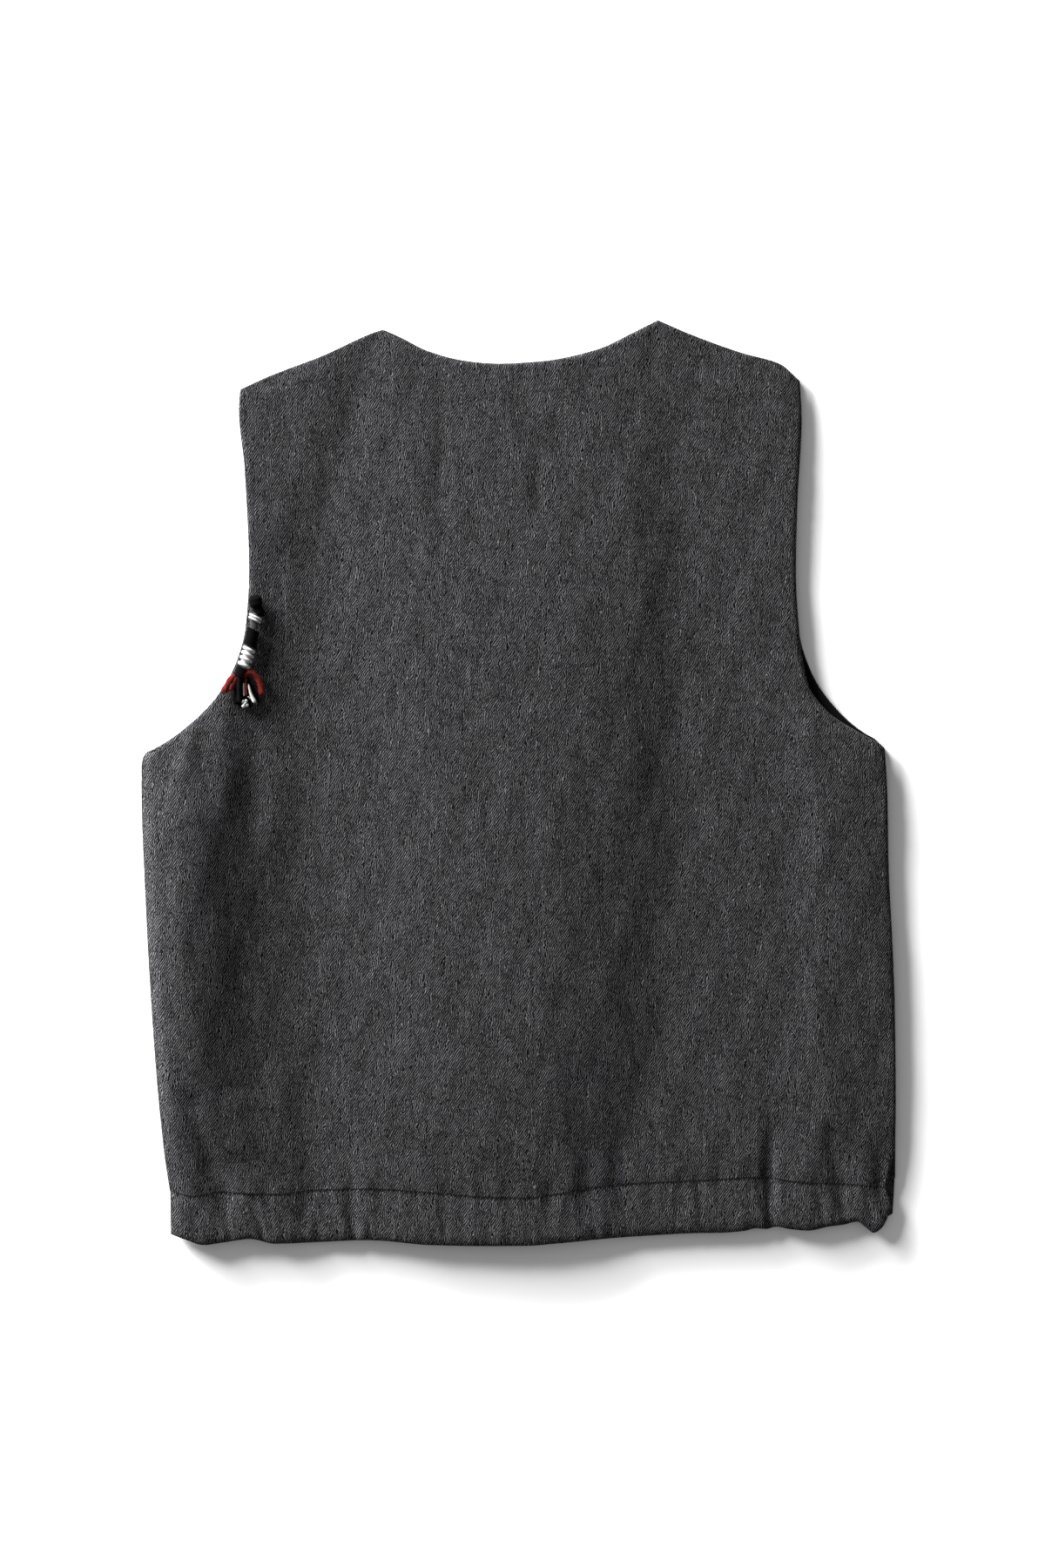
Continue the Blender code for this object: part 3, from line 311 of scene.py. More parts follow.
def along(points, fraction):
    """Places at fractions of the length of a smooth curve through the points."""
    points = np.asarray(points, float)
    length = np.concatenate([[0], np.cumsum(np.linalg.norm(np.diff(points, axis=0), axis=1))])
    at = np.atleast_1d(np.asarray(fraction, float)) * length[-1]
    return np.stack([smooth(length, column, at) for column in points.T], axis=-1)


def by_x(stretches, fraction):
    """Places at fractions of the way along X, over one or more joined smooth stretches."""
    first = stretches[0][0][0]
    last = stretches[-1][-1][0]
    x = first + np.asarray(fraction, float) * (last - first)
    y = np.zeros_like(x)
    for stretch in stretches:
        points = np.asarray(stretch, float)
        inside = (x >= points[0, 0]) & (x <= points[-1, 0])
        y = np.where(inside, smooth(points[:, 0], points[:, 1], x), y)
    return np.stack([x, y], axis=-1)


def side_edge(side, armhole, corner):
    """An edge that follows a side seam up to the row called corner and an armhole from there on."""

    def place(v):
        if v <= corner:
            return along(side, v / corner)[0]
        return along(armhole, (v - corner) / (1 - corner))[0]

    return place


def patch(left, right, bottom, top, columns, rows):
    """A net of plan points stretched between four edges."""
    u = np.asarray(columns, float)[:, None]
    low, high = bottom(columns), top(columns)
    net = []
    for v in rows:
        lengthwise = (1 - v) * low + v * high
        crosswise = (1 - u) * left(v) + u * right(v)
        corners = (1 - v) * ((1 - u) * low[0] + u * low[-1]) + v * ((1 - u) * high[0] + u * high[-1])
        net.append(lengthwise + crosswise - corners)
    return np.array(net)


def distance(places, outline):
    """Distance in plan from each place to each point of an outline."""
    return np.hypot(
        places[:, None, 0] - outline[None, :, 0],
        places[:, None, 1] - outline[None, :, 1],
    )


CHUNK = 4000  # places whose distances are worked out at a time


def near_points(plan, outline):
    """Distance from each place to the nearest point of an outline."""
    return np.concatenate(
        [distance(plan[at : at + CHUNK], outline).min(axis=1) for at in range(0, len(plan), CHUNK)]
    )


# Materials


def add_node(tree, kind, inputs=None, **settings):
    made = tree.nodes.new("ShaderNode" + kind)
    for key, value in settings.items():
        setattr(made, key, value)
    for key, value in (inputs or {}).items():
        if isinstance(value, bpy.types.NodeSocket):
            tree.links.new(value, made.inputs[key])
        else:
            made.inputs[key].default_value = value
    return made


def new_material(name, roughness, sheen=0.0, sheen_roughness=0.5, specular=0.3):
    """A material with its tree, its shader, and a coordinate in millimetres."""
    material = bpy.data.materials.new(name)
    material.use_nodes = True
    tree = material.node_tree
    shader = tree.nodes["Principled BSDF"]
    shader.inputs["Roughness"].default_value = roughness
    shader.inputs["Sheen Weight"].default_value = sheen
    shader.inputs["Sheen Roughness"].default_value = sheen_roughness
    shader.inputs["Specular IOR Level"].default_value = specular
    place = add_node(tree, "TexCoord").outputs["Object"]
    return material, tree, shader, place


def scaled(tree, place, scale, turn=0.0):
    """The coordinate with its axes scaled, as repeats for each millimetre, after a turn in plan."""
    turned = add_node(tree, "Mapping", {"Vector": place, "Rotation": (0, 0, turn)})
    sizes = tuple(value / METRES for value in scale)
    return add_node(tree, "Mapping", {"Vector": turned.outputs[0], "Scale": sizes}).outputs[0]


def noise(tree, place, scale, turn=0.0, detail=2.0, roughness=0.5):
    made = add_node(
        tree,
        "TexNoise",
        {
            "Vector": scaled(tree, place, scale, turn),
            "Scale": 1.0,
            "Detail": detail,
            "Roughness": roughness,
        },
    )
    return made.outputs["Fac"]


def maths(tree, operation, first, second=0.0, third=0.0):
    made = add_node(tree, "Math", operation=operation)
    for number, value in enumerate((first, second, third)):
        if isinstance(value, bpy.types.NodeSocket):
            tree.links.new(value, made.inputs[number])
        else:
            made.inputs[number].default_value = value
    return made.outputs[0]


def limits(tree, value, low, high, to_low=0.0, to_high=1.0):
    """The value with low to high stretched over to_low to to_high, and held there outside."""
    made = add_node(
        tree,
        "MapRange",
        {0: value, 1: low, 2: high, 3: to_low, 4: to_high},
    )
    return made.outputs[0]


def ramp(tree, value, stops):
    made = add_node(tree, "ValToRGB", {"Fac": value})
    elements = made.color_ramp.elements
    while len(elements) < len(stops):
        elements.new(0.5)
    for element, (at, colour) in zip(elements, stops):
        element.position = at
        element.color = (*colour, 1)
    return made.outputs["Color"]


def weighed(tree, first, second, share):
    """The first value with a share of the whole, and the second with the rest."""
    rest = maths(tree, "MULTIPLY", second, 1 - share)
    return maths(tree, "ADD", maths(tree, "MULTIPLY", first, share), rest)


def dress(tree, shader, tone, height, strength, depth):
    """Gives a shader its tone, and a relief whose depth is in millimetres."""
    tree.links.new(tone, shader.inputs["Base Color"])
    bump = add_node(tree, "Bump", {"Height": height, "Strength": strength, "Distance": depth * METRES})
    tree.links.new(bump.outputs["Normal"], shader.inputs["Normal"])


# Lengths of the weave in millimetres
WALE_PITCH = 1.28
WALE_TURN = math.radians(33)
WAVE_PERIOD = math.pi / 10  # of Blender's wave texture at scale 1
CURL_PITCH = 1.24
CURL_TURN = math.radians(8)
WALE_BEND = 3.4  # how far the wales stray from straight lines, and the curls between them
CURL_BEND = 9.0
PATCHES = (0.42, 0.58)  # values of the noise between which wales turn into curls
# How much each layer of the weave adds to its tone
WEAVE_SHARES = {
    "wales": 1.0,
    "streaks": 0.75,
    "grain": 0.85,
    "mottle": 0.16,
    "slubs": 0.30,
    "specks": 0.62,
}
WEAVE_RANGE = (1.03, 2.16)  # totals of these layers that give the darkest and the lightest tone
# Tones from the darkest to the lightest total. Their wide spread is the yarn's marl and also painted
# highlight and shade of the weave's relief
WEAVE_AND_SHADE_TONES = (
    (0.0, (0.0005, 0.0005, 0.0006)),
    (0.30, (0.0068, 0.0068, 0.0072)),
    (0.55, (0.0360, 0.0358, 0.0376)),
    (1.0, (0.165, 0.164, 0.171)),
)
LINING_TONES = ((0.3, (0.001, 0.001, 0.0011)), (0.7, (0.0045, 0.0045, 0.0048)))


def twill_material(name):
    """Marled charcoal twill: diagonal wales that break into curls, speckled yarn, slubs and nap, with
    painted highlight and shade on its relief.
    """
    material, tree, shader, place = new_material(
        name, 0.95, sheen=0.035, sheen_roughness=0.45, specular=0.04
    )
    patches = limits(tree, noise(tree, place, (0.16, 0.09, 0.16), detail=3), *PATCHES)
    lines = [
        add_node(
            tree,
            "TexWave",
            {
                "Vector": scaled(tree, place, (1.0, 1.0, 1.0), turn),
                "Scale": WAVE_PERIOD / pitch,
                "Distortion": bend,
                "Detail": 1.0,
                "Detail Scale": detail_scale,
                "Detail Roughness": 0.5,
            },
        ).outputs["Fac"]
        for pitch, turn, bend, detail_scale in (
            (WALE_PITCH, WALE_TURN, WALE_BEND, 1.5),
            (CURL_PITCH, CURL_TURN, CURL_BEND, 1.2),
        )
    ]
    wales = add_node(tree, "Mix", {0: patches, 2: lines[0], 3: lines[1]}).outputs[0]
    layers = {
        "wales": wales,
        "streaks": noise(tree, place, (1.6, 0.36, 1.6), WALE_TURN, detail=2, roughness=0.6),
        "grain": noise(tree, place, (2.0, 1.5, 2.0), detail=2, roughness=0.7),
        "mottle": noise(tree, place, (0.5, 0.08, 0.5), detail=3, roughness=0.6),
        "slubs": limits(tree, noise(tree, place, (1.0, 0.035, 1.0), detail=1), 0.60, 0.85),
        "specks": limits(tree, noise(tree, place, (1.1, 0.8, 1.1), 0.6, detail=1), 0.68, 0.80),
    }
    total = 0.0
    for layer, share in WEAVE_SHARES.items():
        total = maths(tree, "MULTIPLY_ADD", layers[layer], share, total)
    # The wales and grain that raise the relief also lighten the tone: painted highlight on its ridges,
    # painted shade in its hollows
    tone = ramp(tree, limits(tree, total, *WEAVE_RANGE), WEAVE_AND_SHADE_TONES)
    height = maths(tree, "MULTIPLY_ADD", layers["grain"], 0.5, maths(tree, "MULTIPLY", wales, 0.6))
    dress(tree, shader, tone, height, 0.55, 0.2)
    return material


def lining_material():
    """Smooth black lining with a fine plain weave."""
    material, tree, shader, place = new_material("lining_black", 0.8, specular=0.03)
    threads = noise(tree, place, (3.0, 0.5, 3.0), detail=2)
    cross = noise(tree, place, (0.5, 3.0, 3.0), detail=2)
    total = weighed(tree, threads, cross, 0.5)
    dress(tree, shader, ramp(tree, total, LINING_TONES), total, 0.3, 0.08)
    return material


def yarn_material(name, dark, light, sheen, roughness, specular):
    """Spun yarn: streaks along its twist, random tone with painted shade in the hollows of its relief,
    and a fuzzy sheen.
    """
    material, tree, shader, place = new_material(name, roughness, sheen=sheen, specular=specular)
    fibres = noise(tree, place, (2.6, 2.6, 2.6), detail=4, roughness=0.7)
    tone = noise(tree, place, (0.4, 0.4, 0.4), detail=2)
    # The fibres noise lowers the relief where it darkens the tone, so the hollows get painted shade
    total = weighed(tree, fibres, tone, 0.7)
    dress(tree, shader, ramp(tree, total, ((0.32, dark), (0.66, light))), fibres, 0.5, 0.15)
    return material


# Threads and yarns. Columns: name, dark tone, light tone, sheen, roughness, specular share
# Each dark tone is partly painted shade, which yarn_material lays in the hollows of the relief
YARNS = (
    ("thread_dark", (0.002, 0.002, 0.002), (0.006, 0.006, 0.006), 0.0, 0.8, 0.1),
    ("thread_light", (0.06, 0.06, 0.06), (0.12, 0.12, 0.12), 0.0, 0.7, 0.1),
    ("yarn_black", (0.0004, 0.0004, 0.0004), (0.0022, 0.0019, 0.0020), 0.004, 0.9, 0.03),
    ("yarn_grey", (0.006, 0.006, 0.0064), (0.043, 0.043, 0.044), 0.03, 0.85, 0.1),
    ("yarn_white", (0.22, 0.22, 0.22), (0.46, 0.46, 0.455), 0.03, 0.85, 0.1),
    ("yarn_red", (0.014, 0.0008, 0.0007), (0.125, 0.009, 0.006), 0.02, 0.85, 0.1),
)
MATERIALS = {"twill": twill_material("twill_charcoal"), "lining": lining_material()}
for yarn in YARNS:
    MATERIALS[yarn[0]] = yarn_material(*yarn)


# Meshes


def signed_volume(points, faces):
    """Six times the volume inside the faces, negative where they point inwards."""
    corners = max(len(face) for face in faces)
    filled = np.array([tuple(face) + (face[-1],) * (corners - len(face)) for face in faces])
    points = np.asarray(points, float)
    first = points[filled[:, 0]]
    return sum(
        float((first * np.cross(points[filled[:, second]], points[filled[:, second + 1]])).sum())
        for second in range(1, corners - 1)
    )


SHARP_ANGLE = math.radians(70)


def piece(name, points, faces, material, slot, *nodes):
    """A shown piece from points in millimetres, which replaces the named nodes."""
    points = np.asarray(points, float) * METRES
    faces = [tuple(int(number) for number in face) for face in faces]
    if signed_volume(points, faces) < 0:
        faces = [face[::-1] for face in faces]
    mesh = bpy.data.meshes.new(name)
    mesh.from_pydata(points.tolist(), [], faces)
    mesh.shade_smooth()
    mesh.set_sharp_from_angle(angle=SHARP_ANGLE)
    mesh.materials.append(MATERIALS[material])
    thing = bpy.data.objects.new(name, mesh)
    bpy.context.scene.collection.objects.link(thing)
    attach(thing, BODY)
    if nodes:
        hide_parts(*nodes)
    return thing


def rim_of(numbers):
    """Point numbers round the edge of a net."""
    bottom = list(numbers[0])
    right = list(numbers[1:-1, -1])
    top = list(numbers[-1][::-1])
    left = list(numbers[1:-1, 0][::-1])
    return bottom + right + top + left


def grid_faces(numbers):
    corners = (numbers[:-1, :-1], numbers[:-1, 1:], numbers[1:, 1:], numbers[1:, :-1])
    return np.stack([corner.ravel() for corner in corners], axis=-1).tolist()


def cloth_wall(net, top_height, under_height):
    """Points and faces of a closed wall over a net of plan points, coarser on its underside."""
    fine = np.arange(net.shape[0] * net.shape[1]).reshape(net.shape[:2])
    below = net[::UNDERSIDE, ::UNDERSIDE]
    plan = net.reshape(-1, 2)
    top = np.column_stack([plan, top_height(plan)])
    rim = rim_of(fine)
    edge = plan[rim]
    ahead = np.roll(edge, -1, axis=0) - np.roll(edge, 1, axis=0)
    outward = np.stack([ahead[:, 1], -ahead[:, 0]], axis=-1)
    outward /= np.maximum(np.linalg.norm(outward, axis=1, keepdims=True), 1e-9)
    area = (edge[:, 0] * np.roll(edge[:, 1], -1) - np.roll(edge[:, 0], -1) * edge[:, 1]).sum()
    outward *= math.copysign(1, area)
    middle = (top[rim, 2] + under_height(edge)) / 2
    bulged = np.column_stack([edge + outward * RIM_BULGE, middle])
    under = np.column_stack([below.reshape(-1, 2), under_height(below.reshape(-1, 2))])
    bulge_start = len(top)
    under_start = bulge_start + len(bulged)
    coarse = under_start + np.arange(below.shape[0] * below.shape[1]).reshape(below.shape[:2])
    faces = grid_faces(fine)
    faces += [face[::-1] for face in grid_faces(coarse)]
    ring = [bulge_start + number for number in range(len(rim))]
    lower = rim_of(coarse)
    for number in range(len(rim)):
        after = (number + 1) % len(rim)
        faces.append((rim[after], rim[number], ring[number], ring[after]))
    for number in range(len(lower)):
        here = number * UNDERSIDE
        spots = [ring[(here + step) % len(ring)] for step in range(UNDERSIDE + 1)]
        turn = (UNDERSIDE + 1) // 2
        start, end = lower[number], lower[(number + 1) % len(lower)]
        for step in range(UNDERSIDE):
            faces.append((spots[step + 1], spots[step], start if step < turn else end))
        faces.append((spots[turn], start, end))
    return np.concatenate([top, bulged, under]), faces


def flat_area(net):
    """Area of a net in plan, in square metres."""
    edge = net.reshape(-1, 2)[rim_of(np.arange(net.shape[0] * net.shape[1]).reshape(net.shape[:2]))]
    crossed = edge[:, 0] * np.roll(edge[:, 1], -1) - np.roll(edge[:, 0], -1) * edge[:, 1]
    return abs(crossed.sum()) / 2 * METRES**2


def strip_of_rings(rings):
    """Points and faces of a closed body through rings of equal counts, with its ends closed."""
    size = len(rings[0])
    points = [tuple(point) for ring in rings for point in ring]
    faces = [tuple(range(size))[::-1]]
    for start in range(0, len(points) - size, size):
        for corner in range(size):
            after = (corner + 1) % size
            faces.append((start + corner, start + after, start + size + after, start + size + corner))
    faces.append(tuple(range(len(points) - size, len(points))))
    return points, faces


def folded_strip(rings):
    """Points and faces of a folded wall, each ring its outer side and then its inner one reversed."""
    points, faces = strip_of_rings(rings)
    size = len(rings[0])
    faces = faces[1:-1]
    for start in (0, len(points) - size):
        for corner in range(size // 2 - 1):
            opposite = start + size - 1 - corner
            quad = (start + corner, start + corner + 1, opposite - 1, opposite)
            faces.append(quad[::-1] if start == 0 else quad)
    return points, faces


# Height of the back


def outline_with_rolls():
    """Dense points round the back, and the row of its roll at each one."""
    stretches = (
        ((HEM_LINE[0], LEFT_SIDE[0]), LEFT_ROLL),
        (LEFT_SIDE, LEFT_ROLL),
        (LEFT_ARMHOLE, FREE_ROLL),
        (LEFT_SHOULDER, SHOULDER_ROLL),
        (NECK, FREE_ROLL),
        (RIGHT_SHOULDER, SHOULDER_ROLL),
        (RIGHT_ARMHOLE[::-1], FREE_ROLL),
        (RIGHT_SIDE[::-1], RIGHT_ROLL),
        ((RIGHT_SIDE[0], HEM_LINE[-1]), RIGHT_ROLL),
    )
    places, rolls = [], []
    for points, roll in stretches:
        steps = np.diff(np.asarray(points, float), axis=0)
        count = max(2, int(np.hypot(*steps.T).sum() / OUTLINE_STEP))
        places.append(along(points, np.linspace(0, 1, count)))
        rolls.append(np.tile(roll, (count, 1)))
    places = np.concatenate(places)
    rolls = np.concatenate(rolls)
    spread = int(ROLL_BLEND / OUTLINE_STEP)
    padded = np.pad(rolls, ((spread, spread), (0, 0)), mode="edge")
    blended = sum(padded[shift : shift + len(rolls)] for shift in range(2 * spread + 1))
    return places, blended / (2 * spread + 1)


OUTLINE, ROLLS = outline_with_rolls()
COARSE_STEP = 8
NEAR_EDGE = SHOULDER_ROLL[0] + COARSE_STEP * OUTLINE_STEP


def drape_height(plan):
    """Height of the back's top from its crests and troughs alone."""
    up = np.asarray(DRAPE_Y[::-1])
    xs = np.array([smooth(up, row[0][::-1], plan[:, 1]) for row in DRAPE.values()])
    zs = np.array([smooth(up, row[1][::-1], plan[:, 1]) for row in DRAPE.values()])
    return smooth(xs, zs, plan[:, 0])


def crease_height(plan, creases):
    total = np.zeros(len(plan))
    for x0, y0, x1, y1, half_width, height in creases:
        run = np.array([x1 - x0, y1 - y0])
        length = np.hypot(*run)
        offset = plan - (x0, y0)
        lengthwise = offset @ run / length**2
        beside = (offset[:, 0] * run[1] - offset[:, 1] * run[0]) / length
        start = ease(lengthwise / CREASE_FADE + CREASE_FADE)
        end = ease((1 - lengthwise) / CREASE_FADE + CREASE_FADE)
        total += height * (start * end) * np.exp(-((beside / half_width) ** 2))
    return total


def all_gathers():
    """The gathers seen in the cloth and the lesser ones between them."""
    gathers = list(GATHERS)
    listed = [row[0] for row in GATHERS]
    count = int((HEM_LINE[-1][0] - HEM_LINE[0][0]) / RIPPLE_PITCH)
    for number in range(count):
        chance = (number * GOLDEN) % 1
        x = HEM_LINE[0][0] + (number + RIPPLE_PLACE[0] + RIPPLE_PLACE[1] * chance) * RIPPLE_PITCH
        if min(abs(x - other) for other in listed) < RIPPLE_CLEARANCE:
            continue
        depth = RIPPLE_DEPTH[0] + chance * (RIPPLE_DEPTH[1] - RIPPLE_DEPTH[0])
        reach = RIPPLE_REACH[0] + (1 - chance) * (RIPPLE_REACH[1] - RIPPLE_REACH[0])
        gathers.append((x, RIPPLE_HALF_WIDTH, depth, reach, RIPPLE_LEAN * (chance - 0.5)))
    return gathers


ALL_GATHERS = all_gathers()


def gather_height(plan, above):
    """How far the gathers sink the cloth, at distances above the line of stitches."""
    total = np.zeros(len(plan))
    for x, half_width, depth, reach, lean in ALL_GATHERS:
        rise = np.clip(above / reach, 0, 1)
        centre = x + lean * rise
        width = half_width * (1 + GATHER_WIDENING * rise)
        total -= depth * (1 - ease(rise)) * np.exp(-(((plan[:, 0] - centre) / width) ** 2))
    return total


def waver_height(plan):
    total = np.zeros(len(plan))
    for long_x, long_y, start, height in WAVER:
        total += height * np.sin(2 * math.pi * (plan[:, 0] / long_x + plan[:, 1] / long_y) + start)
    return total


def above_stitches(plan):
    points = np.asarray(STITCH_LINE)
    return plan[:, 1] - smooth(points[:, 0], points[:, 1], plan[:, 0])


def roll_at(plan):
    """How far the cloth has risen from its edge, from 0 to 1, and the edge's top, underside and drop."""
    risen = np.ones(len(plan))
    edge_top = np.full(len(plan), LEFT_ROLL[1])
    edge_under = np.full(len(plan), LEFT_ROLL[2])
    drop = np.full(len(plan), NO_LIMIT)
    near = np.flatnonzero(near_points(plan, OUTLINE[::COARSE_STEP]) < NEAR_EDGE)
    for start in range(0, len(near), CHUNK):
        chosen = near[start : start + CHUNK]
        ratio = distance(plan[chosen], OUTLINE) / ROLLS[None, :, 0]
        nearest = ratio.argmin(axis=1)
        inwards = np.clip(ratio.min(axis=1), 0, 1)
        risen[chosen] = 1 - (1 - inwards) ** 2
        edge_top[chosen] = ROLLS[nearest, 1]
        edge_under[chosen] = ROLLS[nearest, 2]
        drop[chosen] = ROLLS[nearest, 3]
    return risen, edge_top, edge_under, drop


def back_surface(plan):
    """Height of the back before its edge is rolled down."""
    above = above_stitches(plan)
    dip = STITCH_DIP * np.exp(-((above / STITCH_REACH) ** 2))
    folds = crease_height(plan, CREASES) + gather_height(plan, above) + waver_height(plan)
    return drape_height(plan) + folds - dip


def back_top(plan):
    """Height of the back's upper side."""
    risen, edge_top, _, drop = roll_at(plan)
    surface = np.maximum(back_surface(plan), BACK_LOWEST + BACK_WALL)
    edge_top = np.maximum(edge_top, surface - drop)
    return edge_top + (surface - edge_top) * risen


SLOPE_STEP = 0.4
STEEPEST = 1.0  # square of the slope past which the wall isn't made any higher
WALL_RISE = 0.6  # how far the cloth has risen where it has its full wall
EDGE_RISE = 0.75  # how far it has risen where its underside may go down to the lowest level
LEAST_WALL = 1.0


def back_under(plan):
    """Height of the back's underside, lower where the cloth slopes, so that its wall stays as thick."""
    risen, edge_top, edge_under, drop = roll_at(plan)
    top = back_top(plan)
    step = SLOPE_STEP
    slope_x = (back_top(plan + (step, 0)) - back_top(plan - (step, 0))) / (2 * step)
    slope_y = (back_top(plan + (0, step)) - back_top(plan - (0, step))) / (2 * step)
    slant = np.sqrt(1 + np.minimum(slope_x**2 + slope_y**2, STEEPEST))
    edge_wall = edge_top - edge_under
    wall = edge_wall + (BACK_WALL * slant - edge_wall) * ease(risen / WALL_RISE)
    lifted = np.maximum(back_surface(plan) - drop - edge_top, 0)
    near_edge = np.where(risen < EDGE_RISE, edge_under + lifted, BACK_LOWEST)
    return np.maximum(top - wall, np.minimum(near_edge, top - LEAST_WALL))


# Back panel and its casing


def make_back():
    corner = BACK_SIDE_LENGTH / (BACK_SIDE_LENGTH + BACK_ARMHOLE_LENGTH)
    columns, rows = (crowded(*pair) for pair in zip(BACK_CELLS, BACK_CROWDING))
    rows[np.abs(rows - corner).argmin()] = corner
    net = patch(
        side_edge(LEFT_SIDE, LEFT_ARMHOLE, corner),
        side_edge(RIGHT_SIDE, RIGHT_ARMHOLE, corner),
        lambda u: by_x((STITCH_LINE,), u),
        lambda u: by_x((LEFT_SHOULDER, NECK, RIGHT_SHOULDER), u),
        columns,
        rows,
    )
    net[0, :, 1] += SEAM_CLEARANCE
    back = piece("vest_back", *cloth_wall(net, back_top, back_under), "twill", "twill", "back")
    return back, flat_area(net)


# Creases of the casing. Columns: X at the stitches and at the fold, half width, depth, share of the
# casing's depth where the crease starts and where it ends
CASING_CREASES = (
    (-214.0, -217.0, 3.4, 0.5, 0.2, 1.0),
    (-199.5, -190.5, 2.9, 1.5, 0.05, 1.0),
    (-178.0, -169.5, 2.7, 1.4, -0.2, 1.0),
    (-158.0, -157.0, 2.6, 0.4, 0.3, 1.0),
    (-143.5, -142.0, 4.0, 0.8, -0.3, 0.7),
    (-137.5, -133.0, 2.6, 1.0, 0.4, 1.1),
    (-124.0, -121.0, 2.4, 0.5, 0.1, 1.0),
    (-113.5, -110.0, 2.6, 1.2, 0.1, 1.1),
    (-101.5, -99.0, 2.4, 0.5, 0.4, 1.1),
    (-91.0, -87.0, 2.4, 0.6, -0.1, 0.9),
    (-52.0, -49.0, 3.0, 0.5, 0.2, 1.0),
    (33.0, 31.0, 3.0, 0.5, 0.0, 1.0),
    (56.0, 60.0, 3.0, 0.6, 0.1, 1.0),
    (104.0, 101.0, 3.0, 0.4, 0.2, 1.0),
    (159.0, 164.5, 2.6, 1.6, -0.3, 1.1),
    (198.0, 200.0, 2.4, 0.6, 0.2, 1.0),
    (211.0, 214.0, 2.6, 0.9, -0.1, 1.0),
    (228.0, 233.0, 2.6, 0.7, 0.0, 0.9),
)
CASING_CREASE_FADES = (0.3, 0.2)  # share over which a crease fades, and how much of it is past its end
# Small puckers of the casing. Columns: length along X, slant over the casing's depth, start, share
PUCKERS = (
    (11.3, 6.0, 0.3, 0.30),
    (7.1, -4.0, 1.9, 0.22),
    (17.9, 9.0, 4.0, 0.35),
)
PUCKER_DEPTH = 0.35
PUCKER_AT_STITCHES = 0.25  # share of that depth
RIB_FADE = 0.75  # how far the back's gathers have faded at the fold


def casing_relief(x, share):
    """Creases and small puckers of the casing, over its depth at a place along it."""
    total = np.zeros_like(share)
    for long_x, slant, start, strength in PUCKERS:
        total += PUCKER_DEPTH * strength * np.sin(2 * math.pi * (x + slant * share) / long_x + start)
    total *= PUCKER_AT_STITCHES + (1 - PUCKER_AT_STITCHES) * share
    fade, past = CASING_CREASE_FADES
    for x_start, x_end, half_width, depth, first, last in CASING_CREASES:
        beside = x - (x_start + (x_end - x_start) * share)
        window = ease((share - first) / fade) * ease((last - share) / fade + past)
        total -= depth * window * np.exp(-((beside / half_width) ** 2))
    return total


def make_back_casing():
    """The turned-up hem, folded at the hem line, with its inner leg ending under the stitches."""
    columns = np.linspace(0, 1, CASING_STATIONS)
    stitched = by_x((STITCH_LINE,), columns)
    hem = by_x((HEM_LINE,), columns)
    level = back_top(stitched)
    risen, edge_top, _, _ = roll_at(stitched)
    base = edge_top + (drape_height(stitched) - edge_top) * risen
    legs = CASING_WALL + GAP + INNER_LEG_WALL
    outward = np.linspace(0, CASING_TURN, CASING_OUTER_POINTS)
    crown = smooth(*np.transpose(CASING_CROWN), outward)
    fold = np.radians(np.linspace(*CASING_FOLD_ANGLES))
    rings = []
    for number, (start, end) in enumerate(zip(stitched - (0, SEAM_CLEARANCE), hem)):
        rise = risen[number]
        deep = legs + (CASING_HEIGHT - legs) * rise
        low = min(base[number] - deep, level[number] - legs)
        puff = (CASING_PUFF + STITCH_DIP) * rise
        ribs = RIB_FADE * (base[number] - STITCH_DIP * rise - level[number])
        heights = level[number] + puff * crown + ribs * ease(outward)
        heights = np.maximum(heights + rise * casing_relief(start[0], outward), low + legs)

        def spot(share, height):
            return (*(start + (end - start) * share), height)

        half = (heights[-1] - low) / 2
        outer = [spot(share, height) for share, height in zip(outward, heights)]
        for turn in fold:
            share = CASING_TURN + (1 - CASING_TURN) * math.cos(turn)
            outer.append(spot(share, low + half + half * math.sin(turn)))
        outer += [spot(share, low) for share in CASING_LEG]
        middle = half - (CASING_WALL + INNER_LEG_WALL) / 2
        held_in = np.minimum(outward, CASING_INNER_TURN)
        inner = [spot(share, height - CASING_WALL) for share, height in zip(held_in, heights)]
        for turn in fold:
            share = CASING_INNER_TURN + CASING_INNER_FOLD * math.cos(turn)
            inner.append(spot(share, low + INNER_LEG_WALL + middle + middle * math.sin(turn)))
        inner += [spot(min(share, CASING_INNER_TURN), low + INNER_LEG_WALL) for share in CASING_LEG]
        rings.append(outer + inner[::-1])
    return piece("vest_back_casing", *folded_strip(rings), "twill", "twill", "back_casing")


# Fronts, their casings and the lining


def seam_points(side, shoulder):
    """Points along a side seam and a shoulder seam, ending short of the armhole and the neck."""
    points = []
    for line, start, end in ((side, 0, SEAM_END), (shoulder, SEAM_END, SEAM_END)):
        length = np.hypot(*np.diff(np.asarray(line, float), axis=0).T).sum()
        points.append(along(line, np.linspace(start / length, 1 - end / length, int(length))))
    return np.concatenate(points)


